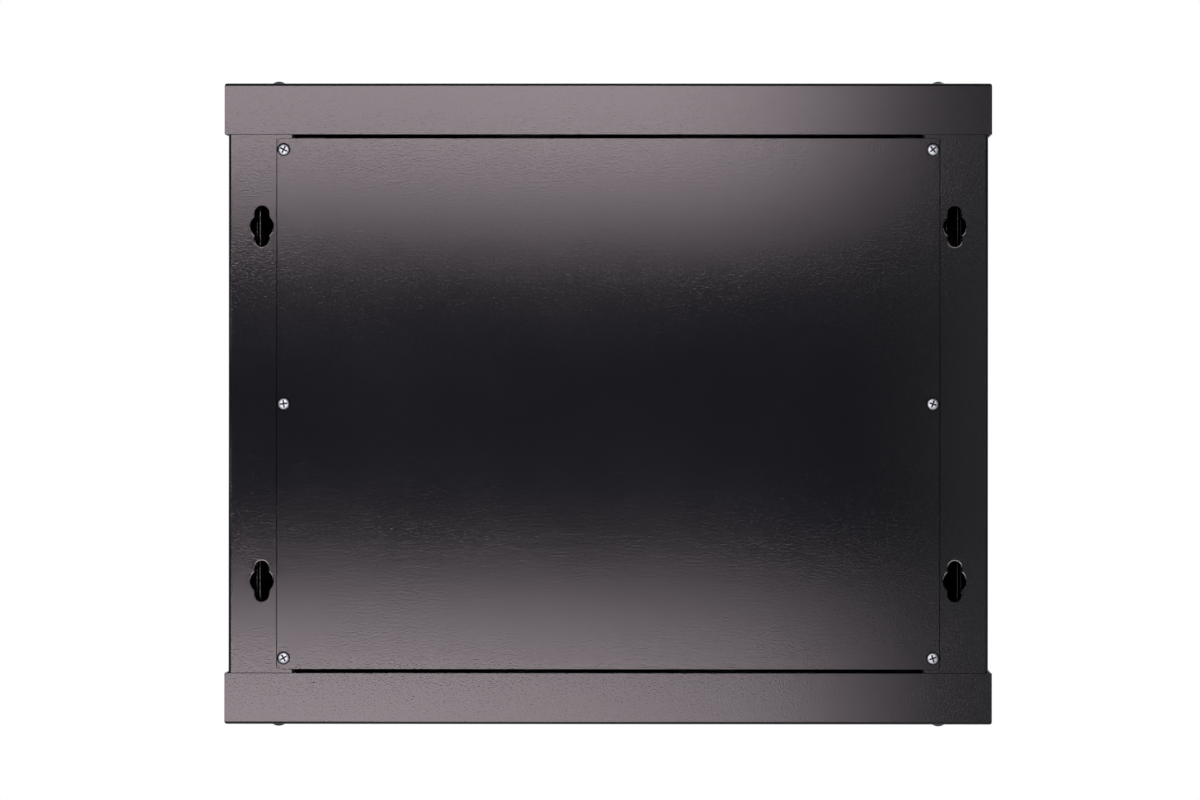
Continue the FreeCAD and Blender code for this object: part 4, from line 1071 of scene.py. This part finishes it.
def coil_spring(shape, radius, wire, length, open_turns=4, steps=28):
    """Round wire: one closed turn, open turns and one closed turn, from level 0 to length."""
    upright = Matrix.Rotation(math.radians(90), 4, "X")
    profile = bmesh.ops.create_circle(
        shape, segments=10, radius=wire / 2,
        matrix=Matrix.Translation((radius, 0, wire / 2)) @ upright,
    )["verts"]
    moving = profile + list({line for vert in profile for line in vert.link_edges})
    first = [line for line in moving if isinstance(line, bmesh.types.BMEdge)]
    rise = (length - 3 * wire) / open_turns
    for turns, pitch in ((1, wire), (open_turns, rise), (1, wire)):
        made = bmesh.ops.spin(
            shape, geom=moving, cent=(0, 0, 0), axis=(0, 0, 1), dvec=(0, 0, pitch / steps),
            angle=2 * math.pi * turns, steps=steps * turns, use_merge=False, use_duplicate=False,
        )
        moving = made["geom_last"]
    last = [line for line in moving if isinstance(line, bmesh.types.BMEdge)]
    bmesh.ops.edgeloop_fill(shape, edges=first)
    bmesh.ops.edgeloop_fill(shape, edges=last)


for name, end in (("upper_hinge_pin", 1), ("lower_hinge_pin", -1)):
    pin = bmesh.new()
    turned(pin, [
        (0.0, 0.2165), (0.0018, 0.2165), (0.0027, 0.2160), (0.0030, 0.2150), (0.0030, 0.1997),
        (0.0045, 0.1995), (0.0047, 0.1992), (0.0047, 0.1978), (0.0045, 0.1975), (0.0030, 0.1975),
        (0.0030, 0.1735), (0.0027, 0.1730), (0.0, 0.1730),
    ])
    lay(pin, "Z", (HINGE_X, HINGE_Y, 0), end)
    low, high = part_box(name)
    tail_level = low.z if end > 0 else high.z - TAIL_THICKNESS
    tail_low = Vector((HINGE_X - TAIL_WIDTH, low.y + TAIL_INSET, tail_level))
    tail_high = Vector((high.x, high.y - TAIL_INSET, tail_low.z + TAIL_THICKNESS))
    tail = bmesh.new()
    bar(tail, tail_low, tail_high, "Z", 0.0025, 0.0006)
    keep(f"{name}_turned", [pin, tail], name)
    spring_name = name.replace("pin", "spring")
    low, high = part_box(spring_name)
    spring = bmesh.new()
    coil_spring(spring, SPRING_RADIUS, SPRING_WIRE, high.z - low.z)
    bmesh.ops.translate(spring, vec=(HINGE_X, HINGE_Y, low.z), verts=spring.verts)
    coil = keep(f"{spring_name}_wound", [spring], spring_name, crease=60)
    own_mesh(coil)

# %% [markdown]
# ### Earth studs
#
# A threaded stud with a hexagon nut stands on the bottom cover and another on the door.

# %% Earth studs
for name, axis in (("frame_earth_stud", "Z"), ("door_earth_stud", "Y")):
    low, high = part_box(name)
    index = "XYZ".index(axis)
    length = high[index] - low[index]
    stud = bmesh.new()
    nut(stud, HEXAGON, 0.0, NUT_HEIGHT)
    turned(stud, [(0.0, 0.0), *thread_line(0.0030, 0.0004, length - 0.0004), (0.0, length)], 24)
    foot = [(start + end) / 2 for start, end in zip(low, high)]
    foot[index] = low[index]
    lay(stud, axis, foot)
    keep(name.replace("stud", "screw"), [stud], name)

# %% [markdown]
# ### Glass, gasket and bumpers
#
# The edges of toughened glass are ground, and foam and rubber have soft corners, so they are
# rounded like the sheets. The two bumpers are little pads with a wide rounding.

# %% Glass, gasket and bumpers
PAD_HALF = 0.004
softened("door_glass", width=0.0005)
softened("glass_gasket", width=0.00025)
low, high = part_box("door_bumpers")
bumpers = []
for end in (-1, 1):
    pad = bmesh.new()
    level = end * (high.z - PAD_HALF)
    pad_low, pad_high = (low.x, low.y, level - PAD_HALF), (high.x, high.y, level + PAD_HALF)
    bar(pad, pad_low, pad_high, "Y", 0.0015, 0.0009)
    bumpers.append(pad)
keep("rubber_bumpers", bumpers, "door_bumpers")

# %% [markdown]
# The dressed part is meant to fill the same box as the model. The last line prints by how much
# it grows beyond the model's box.

# %% Growth of the dressed part
shown_low, shown_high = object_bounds()
growth = (shown_high - shown_low) - (cad_high - cad_low)
print("grows by in mm:", [round(value * 1000, 2) for value in growth])
